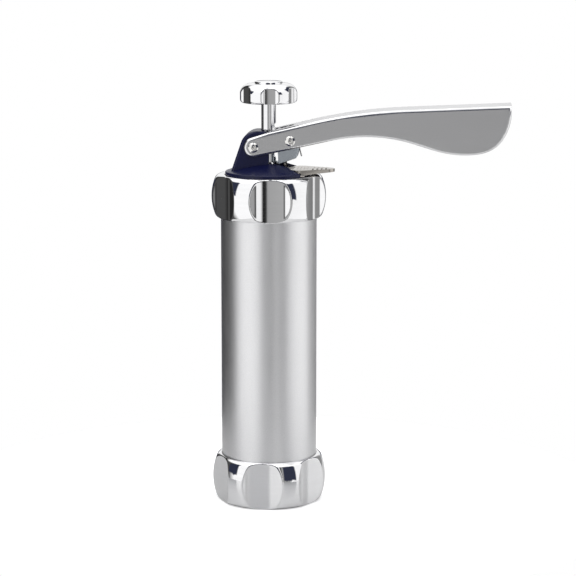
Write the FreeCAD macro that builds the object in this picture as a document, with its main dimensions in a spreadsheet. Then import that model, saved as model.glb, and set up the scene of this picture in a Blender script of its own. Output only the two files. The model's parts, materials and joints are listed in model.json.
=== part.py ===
import FreeCAD, Part
import math
import os
import Sketcher

# A cookie press: a screw-capped barrel with a patterned disc at the bottom, and a plastic head
# on top whose lever and pawl push a notched rod and its piston down. Millimetres, +Z up.
# The origin is on the barrel's axis, on the face that the press stands on.
# The lever points towards +X, and its pins lie along Y.

os.makedirs("parts", exist_ok=True)
doc = FreeCAD.newDocument("cookie_press")
Vector = FreeCAD.Vector

# ------------------------------------------------------------------ driving dimensions
driving_dimensions = [
    # barrel
    ("barrel_radius", 27.0),
    ("barrel_wall", 2.0),
    ("barrel_length", 180.0),
    ("thread_pitch", 2.5),
    ("thread_depth", 0.6),
    ("thread_turns", 6),
    # the two screw rings
    ("lower_ring_height", 27.0),
    ("upper_ring_height", 24.5),
    ("ring_wall", 2.1),             # at the ring's ends, outside the thread gap
    ("ring_bulge", 2.9),            # how far the middle stands out past the ends
    ("ring_edge_round", 2.0),
    ("ring_scallop_count", 6),
    ("ring_scallop_depth", 3.6),    # from the fullest radius to the scallop's floor
    ("ring_scallop_width", 17.6),   # of the floor
    ("ring_scallop_slope", 15.0),   # of the scallop's sides, in degrees
    ("upper_ring_turned", 36.5),    # how far each ring and the knob are screwed round, in degrees
    ("lower_ring_turned", 27.5),
    ("knob_turned", 37.5),
    ("outlet_lip", 2.5),
    ("outlet_radius", 22.5),
    ("cap_lip", 2.0),
    # patterned disc
    ("disc_thickness", 1.0),
    ("petal_count", 6),
    ("petal_width", 3.4),
    ("petal_inner", 5.5),
    ("petal_outer", 12.0),
    ("disc_centre_radius", 1.9),
    # head
    ("flange_thickness", 2.0),
    ("dome_radius", 24.5),
    ("dome_edge", 1.5),
    ("dome_rise", 5.3),
    ("crown_radius", 8.0),
    ("spigot_depth", 2.0),
    ("head_cavity_radius", 19.0),
    ("head_floor", 2.0),
    ("hump_height", 24.7),
    ("hump_back", 20.8),
    ("hump_lean", 8.2),             # of its back, from its foot to its top
    ("hump_round", 9.0),
    ("hump_front", 0.8),
    ("hump_wall", 2.5),
    ("recess_width", 17.2),
    ("recess_angle", 40.0),         # of each side of the fan-shaped recess, in degrees
    ("recess_floor_drop", 0.7),     # below the upper ring's top face
    ("lug_inset", 1.7),             # of the release pin's lugs, inside the plate's side lips
    ("lug_thickness", 1.6),
    ("base_plate", 1.5),
    ("base_plate_radius", 24.0),
    ("head_screw_count", 3),
    ("head_screw_radius", 1.25),
    ("head_screw_circle", 21.3),
    ("head_screw_length", 6.0),
    # rod
    ("rod_radius", 4.1),
    ("notch_pitch", 5.4),
    ("notch_height", 2.2),
    ("notch_depth", 1.1),
    ("notch_count", 36),
    ("first_notch", 27.1),          # above the upper ring's top face
    ("stub_radius", 3.0),
    ("bush_wall", 1.9),
    ("bush_length", 5.6),
    # piston
    ("piston_height", 12.0),
    ("piston_plate", 4.0),
    ("piston_skirt", 2.5),
    ("hub_radius", 8.0),
    ("seal_height", 3.0),
    ("seal_depth", 1.5),
    ("nut_recess_radius", 7.5),
    ("nut_recess_depth", 5.5),
    ("nut_across_flats", 10.0),
    ("nut_height", 3.6),
    ("washer_thickness", 1.0),
    # knob
    ("knob_clearance", 40.0),       # its underside, above the upper ring's top face
    ("knob_radius", 16.0),
    ("knob_height", 10.8),
    ("knob_top_radius", 10.3),
    ("knob_shoulder_start", 5.9),   # above its underside
    ("knob_shoulder", 6.2),
    ("knob_edge_round", 2.0),
    ("knob_scallop_depth", 1.65),
    ("knob_scallop_width", 6.4),
    ("knob_scallop_slope", 26.0),   # in degrees
    ("knob_cap_radius", 7.8),
    ("knob_cap_thickness", 2.2),
    ("knob_cap_proud", 1.1),
    ("knob_socket", 5.0),
    ("knob_screw_radius", 1.6),
    ("knob_screw_head", 3.5),       # radius
    ("knob_screw_depth", 7.0),      # of its shank in the rod
    # lever
    ("lever_width", 24.0),
    ("sheet", 1.2),
    ("lever_bend", 1.8),
    ("lever_reach", 142.6),         # from the pivot to the paddle's end
    ("ear_radius", 5.6),
    ("pivot_height", 15.9),         # above the upper ring's top face
    ("pivot_rod_gap", 0.4),         # between the pivot's bush and the rod
    ("pin_radius", 2.0),
    ("rivet_head_radius", 2.8),
    ("rivet_head_height", 1.2),
    ("lever_slot_width", 11.0),
    ("lever_slot_end", 22.0),
    ("web_start_height", 8.7),      # of the lever's web, above the pivot
    ("neck_length", 31.5),          # the straight part of the web, from the pivot
    ("neck_height", 14.15),
    ("paddle_length", 59.1),        # the straight part at the other end
    ("paddle_height", 21.43),
    ("paddle_end_height", 24.1),
    ("web_bow", 281.0),             # radius between the two
    ("waist_x", 43.5),              # where the underside's arch begins
    ("waist_height", 4.0),
    ("arch_radius", 89.0),
    ("heel_length", 55.1),          # the paddle's deep part, from the end
    ("heel_height", 2.8),
    ("drive_pin_reach", 20.5),
    ("drive_pin_rise", 3.8),
    # drive pawl and its spring
    ("pawl_width", 15.6),
    ("pawl_nose_width", 7.0),
    ("pawl_wire", 0.4),             # radius
    ("pawl_coil", 2.9),             # mean radius
    ("pawl_coil_turns", 5),
    # release plate, its pin and its spring
    ("plate_thickness", 1.0),
    ("plate_top", 3.3),             # above the upper ring's top face
    ("plate_half_width", 11.9),
    ("plate_neck", 5.0),            # half the width beside the rod
    ("plate_reach", 37.2),
    ("plate_lug_height", 3.2),
    ("plate_lip", 0.9),             # thickness of its down-turned edges
    ("plate_tip", 4.2),             # half the width beside its rounded tip
    ("release_pin_radius", 0.6),
    ("release_pin_x", 18.5),
    ("release_pin_height", 0.9),    # above the upper ring's top face
    ("release_wire", 0.22),
    ("release_coil", 0.95),
    ("release_coil_turns", 8),
    # clearances
    ("thread_gap", 0.2),
    ("seat_gap", 0.3),              # between fixed rims and what drops into them
    ("running_gap", 0.05),          # radial, of pins and of the rod in its bush
    ("free_gap", 0.25),             # of pawl noses and sliding edges
    ("side_gap", 0.1),
    ("pivot_washer_thickness", 0.7),
]

sheet = doc.addObject("Spreadsheet::Sheet", "dim")
for row, (alias, size) in enumerate(driving_dimensions, start=1):
    sheet.set(f"A{row}", alias)
    sheet.set(f"B{row}", str(size))
    sheet.setAlias(f"B{row}", alias)
doc.recompute()

# Levels and radii that several pieces share, as formulas of the sheet.
barrel_foot = "(dim.outlet_lip + dim.disc_thickness)"
barrel_top = f"({barrel_foot} + dim.barrel_length)"
flange_top = f"({barrel_top} + dim.flange_thickness)"
deck = f"({flange_top} + dim.cap_lip)"
bore = "(dim.barrel_radius - dim.barrel_wall)"
ring_bore = "(dim.barrel_radius + dim.thread_gap)"
ring_end = f"({ring_bore} + dim.ring_wall)"
flange_radius = "(dim.barrel_radius - 2 * dim.seat_gap)"
dome_shoulder = f"({deck} + dim.dome_edge)"
dome_top = f"({dome_shoulder} + dim.dome_rise)"
recess_floor = f"({deck} - dim.recess_floor_drop)"
cavity_top = f"({recess_floor} - dim.head_floor)"
spigot_foot = f"({barrel_top} - dim.spigot_depth)"
hump_width = "(dim.lever_width - 2 * (dim.sheet + dim.pivot_washer_thickness + dim.side_gap))"
pivot_setback = "(dim.rod_radius + dim.pivot_rod_gap + dim.pin_radius + 1)"
pivot_x = f"(-{pivot_setback})"
pivot_z = f"({deck} + dim.pivot_height)"
drive_x = f"({pivot_x} + dim.drive_pin_reach)"
drive_z = f"({pivot_z} + dim.drive_pin_rise)"
plate_z = f"({deck} + dim.plate_top)"
release_pin_z = f"({deck} + dim.release_pin_height)"
knob_foot = f"({deck} + dim.knob_clearance)"
piston_foot = f"({barrel_foot} + 0.5)"
piston_top = f"({piston_foot} + dim.piston_height)"
nose_x = "(dim.rod_radius + dim.free_gap)"
web_start = f"(dim.hump_front + {pivot_setback} + dim.side_gap)"   # from the pivot
web_reach = f"(dim.hump_front + {pivot_setback})"
# the circle about the pivot inside which the hump clears the end of the lever's web
web_sweep = (f"(sqrt({web_start} * {web_start} + (dim.web_start_height - dim.sheet)"
             " * (dim.web_start_height - dim.sheet)) - dim.side_gap - 0.05)")


def number(formula):
    """The value of a formula of the sheet, in millimetres or degrees."""
    result = sheet.evalExpression(formula)
    return float(getattr(result, "Value", result))


# ------------------------------------------------------------------ ways of building
pieces = []


def new_body(label):
    """A PartDesign body that becomes one node."""
    body = doc.addObject("PartDesign::Body", label)
    body.Label = label
    pieces.append(body)
    return body


def origin_of(body, role):
    return next(f for f in body.Origin.OriginFeatures if f.Role == role)


def new_sketch(body, plane, level=None):
    """A sketch on one of the body's own planes, raised along its normal by a formula."""
    sketch = body.newObject("Sketcher::SketchObject", f"{body.Label}_sketch")
    sketch.AttachmentSupport = [(origin_of(body, plane), "")]
    sketch.MapMode = "FlatFace"
    if level:
        sketch.setExpression("AttachmentOffset.Base.z", level)
    return sketch


def bind(sketch, kind, where, formula):
    """Adds a driving constraint whose value is a formula."""
    index = sketch.addConstraint(Sketcher.Constraint(kind, *where, number(formula)))
    sketch.setExpression(f"Constraints[{index}]", formula)


def hold_point(sketch, edge, end, corner):
    """Fixes one end of an edge at a corner given as two formulas."""
    x_axis, y_axis = -1, -2
    for kind, formula, axis in (("DistanceX", corner[0], y_axis), ("DistanceY", corner[1], x_axis)):
        if abs(number(formula)) < 1e-9:
            sketch.addConstraint(Sketcher.Constraint("PointOnObject", edge, end, axis))
        else:
            bind(sketch, kind, (-1, 1, edge, end), formula)


def add_outline(sketch, corners, arcs=None):
    """A closed outline through the corners. arcs maps a corner's number to the radius of the arc
    that leaves it, positive if the arc turns left on its way to the next corner."""
    arcs = arcs or {}
    points = [Vector(number(x), number(y), 0) for x, y in corners]
    ends = []
    for i, start in enumerate(points):
        stop = points[(i + 1) % len(points)]
        if i not in arcs:
            edge = sketch.addGeometry(Part.LineSegment(start, stop))
            ends.append((edge, 1, 2))
            continue
        radius = number(arcs[i])
        chord = stop - start
        right = Vector(chord.y, -chord.x, 0).normalize()
        sagitta = abs(radius) - math.sqrt(radius ** 2 - (chord.Length / 2) ** 2)
        middle = (start + stop) * 0.5 + right * math.copysign(sagitta, radius)
        edge = sketch.addGeometry(Part.Arc(start, middle, stop))
        forward = sketch.getPoint(edge, 1).distanceToPoint(start) < 1e-6
        ends.append((edge, 1, 2) if forward else (edge, 2, 1))
        bind(sketch, "Radius", (edge,), f"abs({arcs[i]})")
    for i, (edge, first, last) in enumerate(ends):
        after, after_first, _ = ends[(i + 1) % len(ends)]
        sketch.addConstraint(Sketcher.Constraint("Coincident", edge, last, after, after_first))
        hold_point(sketch, edge, first, corners[i])


def add_circle(sketch, centre, radius):
    x, y = number(centre[0]), number(centre[1])
    edge = sketch.addGeometry(Part.Circle(Vector(x, y, 0), Vector(0, 0, 1), number(radius)))
    bind(sketch, "Radius", (edge,), radius)
    hold_point(sketch, edge, 3, centre)


def turn(body, corners, arcs=None, cut=False, plane="XZ_Plane"):
    """Revolves a half-section, given as radius and height, about the body's Z axis.
    The plane decides where the surfaces' seam lies."""
    sketch = new_sketch(body, plane)
    add_outline(sketch, corners, arcs)
    kind = "PartDesign::Groove" if cut else "PartDesign::Revolution"
    feature = body.newObject(kind, f"{body.Label}_turned")
    feature.Profile = sketch
    feature.ReferenceAxis = (sketch, ["V_Axis"])
    feature.Angle = 360
    doc.recompute()
    return feature


def pad(body, sketch, length, symmetric=False):
    feature = body.newObject("PartDesign::Pad", f"{body.Label}_pad")
    feature.Profile = sketch
    feature.SideType = "Symmetric" if symmetric else "One side"
    feature.setExpression("Length", length)
    doc.recompute()
    return feature


def pocket(body, sketch, length=None, symmetric=False, upward=False):
    """Cuts a sketch out of the body: through everything if no length is given."""
    before = body.Shape.Volume
    feature = body.newObject("PartDesign::Pocket", f"{body.Label}_pocket")
    feature.Profile = sketch
    feature.SideType = "Symmetric" if symmetric else "One side"
    feature.Reversed = upward
    if length:
        feature.setExpression("Length", length)
    else:
        feature.Type = "ThroughAll"
    doc.recompute()
    if body.Shape.Volume > before - 1e-3:
        raise RuntimeError(f"a pocket of {body.Label} cuts nothing")
    return feature


def around(body, feature, count):
    """Repeats a feature evenly round the body's Z axis."""
    pattern = body.newObject("PartDesign::PolarPattern", f"{body.Label}_around")
    pattern.Originals = [feature]
    pattern.Axis = (origin_of(body, "Z_Axis"), [""])
    pattern.Angle = 360
    pattern.setExpression("Occurrences", count)
    body.Tip = pattern
    doc.recompute()
    return pattern


def stacked(body, feature, spacing, count, down=False):
    """Repeats a feature along the body's Z axis."""
    pattern = body.newObject("PartDesign::LinearPattern", f"{body.Label}_stacked")
    pattern.Originals = [feature]
    pattern.Direction = (origin_of(body, "Z_Axis"), [""])
    pattern.Mode = "Spacing"
    pattern.Reversed = down
    pattern.setExpression("Offset", spacing)
    pattern.setExpression("Occurrences", count)
    body.Tip = pattern
    doc.recompute()
    return pattern


def round_edges(body, radius, wanted, chamfer=False):
    """Rounds or chamfers the tip's edges that the test picks."""
    base = body.Tip
    names = [f"Edge{i}" for i, edge in enumerate(base.Shape.Edges, start=1) if wanted(edge)]
    if not names:
        raise RuntimeError(f"no edge of {body.Label} to round")
    kind = "PartDesign::Chamfer" if chamfer else "PartDesign::Fillet"
    feature = body.newObject(kind, f"{body.Label}_edges")
    feature.Base = (base, names)
    feature.setExpression("Size" if chamfer else "Radius", radius)
    doc.recompute()
    return feature


def is_circle(edge, radius, height):
    """Whether an edge is the circle about Z of this radius at this height."""
    curve = edge.Curve
    return (isinstance(curve, Part.Circle) and abs(curve.Radius - radius) < 1e-4
            and abs(curve.Center.z - height) < 1e-4
            and math.hypot(curve.Center.x, curve.Center.y) < 1e-4)


def place(body, x, y, z, axis=None, angle=0):
    """Binds a body's place to formulas, after turning it about an axis."""
    if axis:
        body.Placement.Rotation = FreeCAD.Rotation(Vector(*axis), angle)
    for letter, formula in zip("xyz", (x, y, z)):
        body.setExpression(f"Placement.Base.{letter}", formula)


def tube(label, outer, inner, foot, length):
    body = new_body(label)
    sketch = new_sketch(body, "XY_Plane", foot)
    add_circle(sketch, ("0", "0"), outer)
    add_circle(sketch, ("0", "0"), inner)
    pad(body, sketch, length)
    return body


# ------------------------------------------------------------------ barrel and rings
def make_barrel():
    body = tube("barrel", "dim.barrel_radius", bore, barrel_foot, "dim.barrel_length")
    groove_mouth = "dim.thread_pitch * 0.35"
    for first, direction in ((f"({barrel_foot} + 2 * dim.thread_pitch)", False),
                             (f"({barrel_top} - 2 * dim.thread_pitch)", True)):
        groove = turn(body, [
            ("dim.barrel_radius + 0.2", f"{first} - {groove_mouth}"),
            ("dim.barrel_radius + 0.2", f"{first} + {groove_mouth}"),
            ("dim.barrel_radius - dim.thread_depth", first),
        ], cut=True)
        stacked(body, groove, "dim.thread_pitch", "dim.thread_turns - 2", down=direction)
    ends = (number(barrel_foot), number(barrel_top))
    outer = number("dim.barrel_radius")
    round_edges(body, "0.4", lambda e: any(is_circle(e, outer, z) for z in ends), chamfer=True)
    return body


def make_ring(label, foot, height, lip_foot, lip_top, opening):
    """A bulged screw ring with scallops all round and a lip inside one end."""
    body = new_body(label)
    top = f"({foot} + {height})"
    bulge_radius = (f"((({height} / 2) * ({height} / 2) + dim.ring_bulge * dim.ring_bulge)"
                    " / (2 * dim.ring_bulge))")
    at_foot = number(lip_foot) < number(foot) + number(height) / 2
    if at_foot:
        corners = [(opening, foot), (ring_end, foot), (ring_end, top), (ring_bore, top),
                   (ring_bore, lip_top), (opening, lip_top)]
    else:
        corners = [(ring_bore, foot), (ring_end, foot), (ring_end, top), (opening, top),
                   (opening, lip_foot), (ring_bore, lip_foot)]
    turn(body, corners, arcs={1: bulge_radius})
    rims = (number(foot), number(top))
    end = number(ring_end)
    round_edges(body, "dim.ring_edge_round", lambda e: any(is_circle(e, end, z) for z in rims))
    cut_scallops(body, f"({ring_end} + dim.ring_bulge)", "dim.ring_scallop_depth",
                 "dim.ring_scallop_width", "dim.ring_scallop_slope", foot,
                 "dim.ring_scallop_count")
    # the screw thread, as parallel grooves inside the bore
    mouth = "dim.thread_pitch * 0.35"
    if at_foot:
        first = f"({lip_top} + 2 * dim.thread_pitch)"
    else:
        first = f"({lip_foot} - 2 * dim.thread_pitch)"
    groove = turn(body, [
        (f"{ring_bore} - 0.2", f"{first} + {mouth}"),
        (f"{ring_bore} - 0.2", f"{first} - {mouth}"),
        (f"{ring_bore} + dim.thread_depth", first),
    ], cut=True)
    stacked(body, groove, "dim.thread_pitch", "dim.thread_turns - 2", down=not at_foot)
    turn_about_z(body, f"dim.{label}_turned")
    return body


def turn_about_z(body, angle):
    body.Placement.Rotation = FreeCAD.Rotation(Vector(0, 0, 1), number(angle))


def cut_scallops(body, full_radius, depth, width, slope, foot, count):
    """Shallow flat-floored finger scallops, cut straight down the side all round."""
    sketch = new_sketch(body, "XY_Plane", f"{foot} - 1")
    floor = f"({full_radius} - {depth})"
    rise = f"({depth} + 2)"
    far = f"({width} / 2 + {rise} / tan({slope} * 1deg))"
    add_outline(sketch, [
        (floor, f"-{width} / 2"),
        (f"{floor} + {rise}", f"-{far}"),
        (f"{floor} + {rise}", far),
        (floor, f"{width} / 2"),
    ])
    scallop = pocket(body, sketch, upward=True)
    around(body, scallop, count)


def make_die_disc():
    body = new_body("die_disc")
    sketch = new_sketch(body, "XY_Plane", "dim.outlet_lip")
    add_circle(sketch, ("0", "0"), flange_radius)
    add_circle(sketch, ("0", "0"), "dim.disc_centre_radius")
    pad(body, sketch, "dim.disc_thickness")
    petal = new_sketch(body, "XY_Plane", "dim.outlet_lip")
    half = "dim.petal_width / 2"
    add_outline(petal, [
        ("dim.petal_inner", f"-{half} * 0.45"),
        (f"dim.petal_outer - {half}", f"-{half}"),
        (f"dim.petal_outer - {half}", half),
        ("dim.petal_inner", f"{half} * 0.45"),
    ], arcs={1: f"{half} * 1.001"})
    hole = pocket(body, petal, upward=True)
    around(body, hole, "dim.petal_count")
    return body


# ------------------------------------------------------------------ head
def make_head():
    body = new_body("head")
    spigot = f"({bore} - dim.seat_gap)"
    turn(body, [
        ("0", cavity_top),
        ("dim.head_cavity_radius", cavity_top),
        ("dim.head_cavity_radius", spigot_foot),
        (spigot, spigot_foot),
        (spigot, barrel_top),
        (flange_radius, barrel_top),
        (flange_radius, flange_top),
        ("dim.dome_radius", flange_top),
        ("dim.dome_radius", f"{dome_shoulder} - 0.4"),
        ("dim.dome_radius - 0.45", f"{dome_shoulder} + 0.15"),
        ("dim.crown_radius", dome_top),
        ("0", dome_top),
    ], arcs={8: "0.62"}, plane="YZ_Plane")
    # the hump that carries the lever
    hump = new_sketch(body, "XZ_Plane")
    top = f"({deck} + dim.hump_height)"
    rise = f"({top} - {pivot_z})"
    clear_x = f"({pivot_x} + sqrt({web_sweep} * {web_sweep} - {rise} * {rise}))"
    clear_z = f"({pivot_z} + sqrt({web_sweep} * {web_sweep} - {web_reach} * {web_reach}))"
    back_top = "(-dim.hump_back + dim.hump_lean)"
    add_outline(hump, [
        ("dim.hump_front", f"{cavity_top} + 0.5"),
        ("dim.hump_front", clear_z),
        (clear_x, top),
        (back_top, top),
        ("-dim.hump_back", f"{deck} + 0.9"),
        ("-dim.hump_back", f"{cavity_top} + 0.5"),
    ])
    pad(body, hump, hump_width, symmetric=True)
    corner, crest = number(back_top), number(top)
    round_edges(body, "dim.hump_round", lambda e: all(
        abs(v.X - corner) < 1e-3 and abs(v.Z - crest) < 1e-3 for v in e.Vertexes))
    side_y, low, front = number(f"{hump_width} / 2"), number(f"{deck} + 8"), number(clear_x)

    def on_hump_rim(edge):
        """The hump's upper and rear edges, as far as the slope that clears the lever's web."""
        beside = all(abs(abs(v.Y) - side_y) < 1e-4 for v in edge.Vertexes)
        behind = all(v.X < front + 1e-3 for v in edge.Vertexes)
        high = max(v.Z for v in edge.Vertexes) > low
        return beside and behind and high and abs(edge.CenterOfMass.y) > side_y - 1e-4

    round_edges(body, "1.5", on_hump_rim)

    # the fan-shaped recess for the pawl and the release plate
    fan = new_sketch(body, "XY_Plane", recess_floor)
    half = "dim.recess_width / 2"
    throat = f"{half} / tan(dim.recess_angle * 1deg)"
    outside = "(dim.dome_radius + 4)"
    flare = f"{outside} * tan(dim.recess_angle * 1deg)"
    add_outline(fan, [
        ("dim.hump_front", f"-{half}"),
        (throat, f"-{half}"),
        (outside, f"-{flare}"),
        (outside, flare),
        (throat, half),
        ("dim.hump_front", half),
    ])
    pocket(body, fan, upward=True)

    # lugs for the release plate's pin
    for side in (-1, 1):
        lug = new_sketch(body, "XY_Plane", recess_floor)
        reach = "(dim.release_pin_radius + 1.0)"
        outer = f"({side} * (dim.plate_half_width - dim.lug_inset))"
        inner = f"({side} * (dim.plate_half_width - dim.lug_inset - dim.lug_thickness))"
        add_outline(lug, [
            (f"dim.release_pin_x - {reach}", inner),
            (f"dim.release_pin_x + {reach}", inner),
            (f"dim.release_pin_x + {reach}", outer),
            (f"dim.release_pin_x - {reach}", outer),
        ])
        pad(body, lug, f"{release_pin_z} - {recess_floor} + dim.release_pin_radius + 0.4")

    # hollow inside the hump, open below
    hollow = new_sketch(body, "XZ_Plane")
    wall = "dim.hump_wall"
    inner_x = "(-dim.rod_radius - 2.4)"
    add_outline(hollow, [
        (inner_x, f"{cavity_top} - 1"),
        (inner_x, f"{top} - {wall} - 0.6"),
        (f"{inner_x} - 1", f"{top} - {wall} - 0.6"),
        (f"{back_top} + 0.4", f"{top} - 6.5"),
        (f"-dim.hump_back + {wall} + 2", f"{deck} + 0.5"),
        (f"-dim.head_cavity_radius + {wall} + 1", f"{cavity_top} - 1"),
    ])
    pocket(body, hollow, f"{hump_width} - 2 * {wall}", symmetric=True)

    # bores: the rod's, its bush's, the pivot bush's, the release pin's and the screws'
    rod_bore = new_sketch(body, "XY_Plane", f"{cavity_top} - 1")
    add_circle(rod_bore, ("0", "0"), "dim.rod_radius + 2 * dim.free_gap")
    pocket(body, rod_bore, upward=True)
    bush_bore = new_sketch(body, "XY_Plane", f"{cavity_top} - 1")
    add_circle(bush_bore, ("0", "0"), "dim.rod_radius + dim.bush_wall")
    pocket(body, bush_bore, f"{recess_floor} - {cavity_top} + 2.5", upward=True)
    pivot_bore = new_sketch(body, "XZ_Plane")
    add_circle(pivot_bore, (pivot_x, pivot_z), "dim.pin_radius + 1")
    pocket(body, pivot_bore, symmetric=True)
    pin_bore = new_sketch(body, "XZ_Plane")
    add_circle(pin_bore, ("dim.release_pin_x", release_pin_z), "dim.release_pin_radius")
    pocket(body, pin_bore, "2 * dim.plate_half_width", symmetric=True)
    screw_bore = new_sketch(body, "XY_Plane", spigot_foot)
    add_circle(screw_bore, ("-dim.head_screw_circle", "0"), "dim.head_screw_radius")
    bored = pocket(body, screw_bore, "dim.head_screw_length - dim.base_plate + 0.5", upward=True)
    around(body, bored, "dim.head_screw_count")
    return body


def make_head_base():
    """The plate that closes the head from below."""
    body = new_body("head_base")
    sketch = new_sketch(body, "XY_Plane", f"{spigot_foot} - dim.base_plate")
    add_circle(sketch, ("0", "0"), "dim.base_plate_radius")
    add_circle(sketch, ("0", "0"), "dim.rod_radius + 1")
    pad(body, sketch, "dim.base_plate")
    holes = new_sketch(body, "XY_Plane", f"{spigot_foot} - dim.base_plate")
    add_circle(holes, ("-dim.head_screw_circle", "0"), "dim.head_screw_radius + 0.25")
    hole = pocket(body, holes, upward=True)
    around(body, hole, "dim.head_screw_count")
    return body


def make_head_screws():
    """Three cross-recessed screws, up through the base plate into the head."""
    seat = number(f"{spigot_foot} - dim.base_plate")
    radius = number("dim.head_screw_radius")
    circle = number("dim.head_screw_circle")
    count = int(number("dim.head_screw_count"))
    screws = []
    for i in range(count):
        angle = math.pi + i * 2 * math.pi / count
        at = Vector(circle * math.cos(angle), circle * math.sin(angle), 0)
        shank = Part.makeCylinder(radius, number("dim.head_screw_length"), at + Vector(0, 0, seat))
        head_height, head_radius = 1.3, 1.4
        cap = Part.makeCone(head_radius * 0.8, head_radius, head_height,
                            at + Vector(0, 0, seat - head_height))
        slot = Part.makeBox(2, 0.5, 0.7, at + Vector(-1, -0.25, seat - head_height))
        cross = Part.makeBox(0.5, 2, 0.7, at + Vector(-0.25, -1, seat - head_height))
        screws.append(shank.fuse(cap).cut(slot.fuse(cross)).removeSplitter())
    feature = doc.addObject("Part::Feature", "head_screws")
    feature.Shape = Part.makeCompound([solid for screw in screws for solid in screw.Solids])
    feature.Label = "head_screws"
    pieces.append(feature)
    return feature


def make_rod_bush():
    """The flanged bush that guides the rod through the head's floor."""
    body = new_body("rod_bush")
    outer = "(dim.rod_radius + dim.bush_wall)"
    inner = "(dim.rod_radius + dim.running_gap)"
    collar_foot = f"({cavity_top} - 1.5)"
    turn(body, [
        (inner, collar_foot),
        (f"{outer} + 2", collar_foot),
        (f"{outer} + 2", cavity_top),
        (outer, cavity_top),
        (outer, f"{collar_foot} + dim.bush_length - 0.7"),
        (inner, f"{collar_foot} + dim.bush_length - 0.7"),
    ])
    return body


def make_pivot_bush():
    body = tube("pivot_bush", "dim.pin_radius + 1", "dim.pin_radius", f"-{hump_width} / 2",
                hump_width)
    place(body, pivot_x, "0", pivot_z, axis=(1, 0, 0), angle=90)
    return body


def make_pivot_washers():
    """One thin washer on each side of the hump, under the lever's ears."""
    body = new_body("pivot_washers")
    outer, inner = "dim.ear_radius - 0.8", "dim.pin_radius"
    thickness = "dim.pivot_washer_thickness"
    for level in (f"{hump_width} / 2", f"-{hump_width} / 2 - {thickness}"):
        sketch = new_sketch(body, "XY_Plane", level)
        add_circle(sketch, ("0", "0"), outer)
        add_circle(sketch, ("0", "0"), inner)
        pad(body, sketch, thickness)
    return body


def make_rivet(label, x, z, head_gap):
    """A domed tubular rivet across the lever, along Y."""
    body = new_body(label)
    half = f"(dim.lever_width / 2 + {head_gap})"
    edge = f"({half} + dim.rivet_head_height * 0.35)"
    crown = f"({half} + dim.rivet_head_height)"
    dimple = "(dim.rivet_head_radius * 0.32)"
    corners = [("0", f"-{crown} + 0.6"), (dimple, f"-{crown} + 0.3"), (dimple, f"-{crown}"),
               ("dim.rivet_head_radius", f"-{edge}"), ("dim.rivet_head_radius", f"-{half}"),
               ("dim.pin_radius", f"-{half}"), ("dim.pin_radius", half),
               ("dim.rivet_head_radius", half), ("dim.rivet_head_radius", edge),
               (dimple, crown), (dimple, f"{crown} - 0.3"), ("0", f"{crown} - 0.6")]
    turn(body, corners, arcs={2: "dim.rivet_head_radius", 8: "dim.rivet_head_radius"})
    place(body, x, "0", z, axis=(1, 0, 0), angle=90)
    return body


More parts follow.
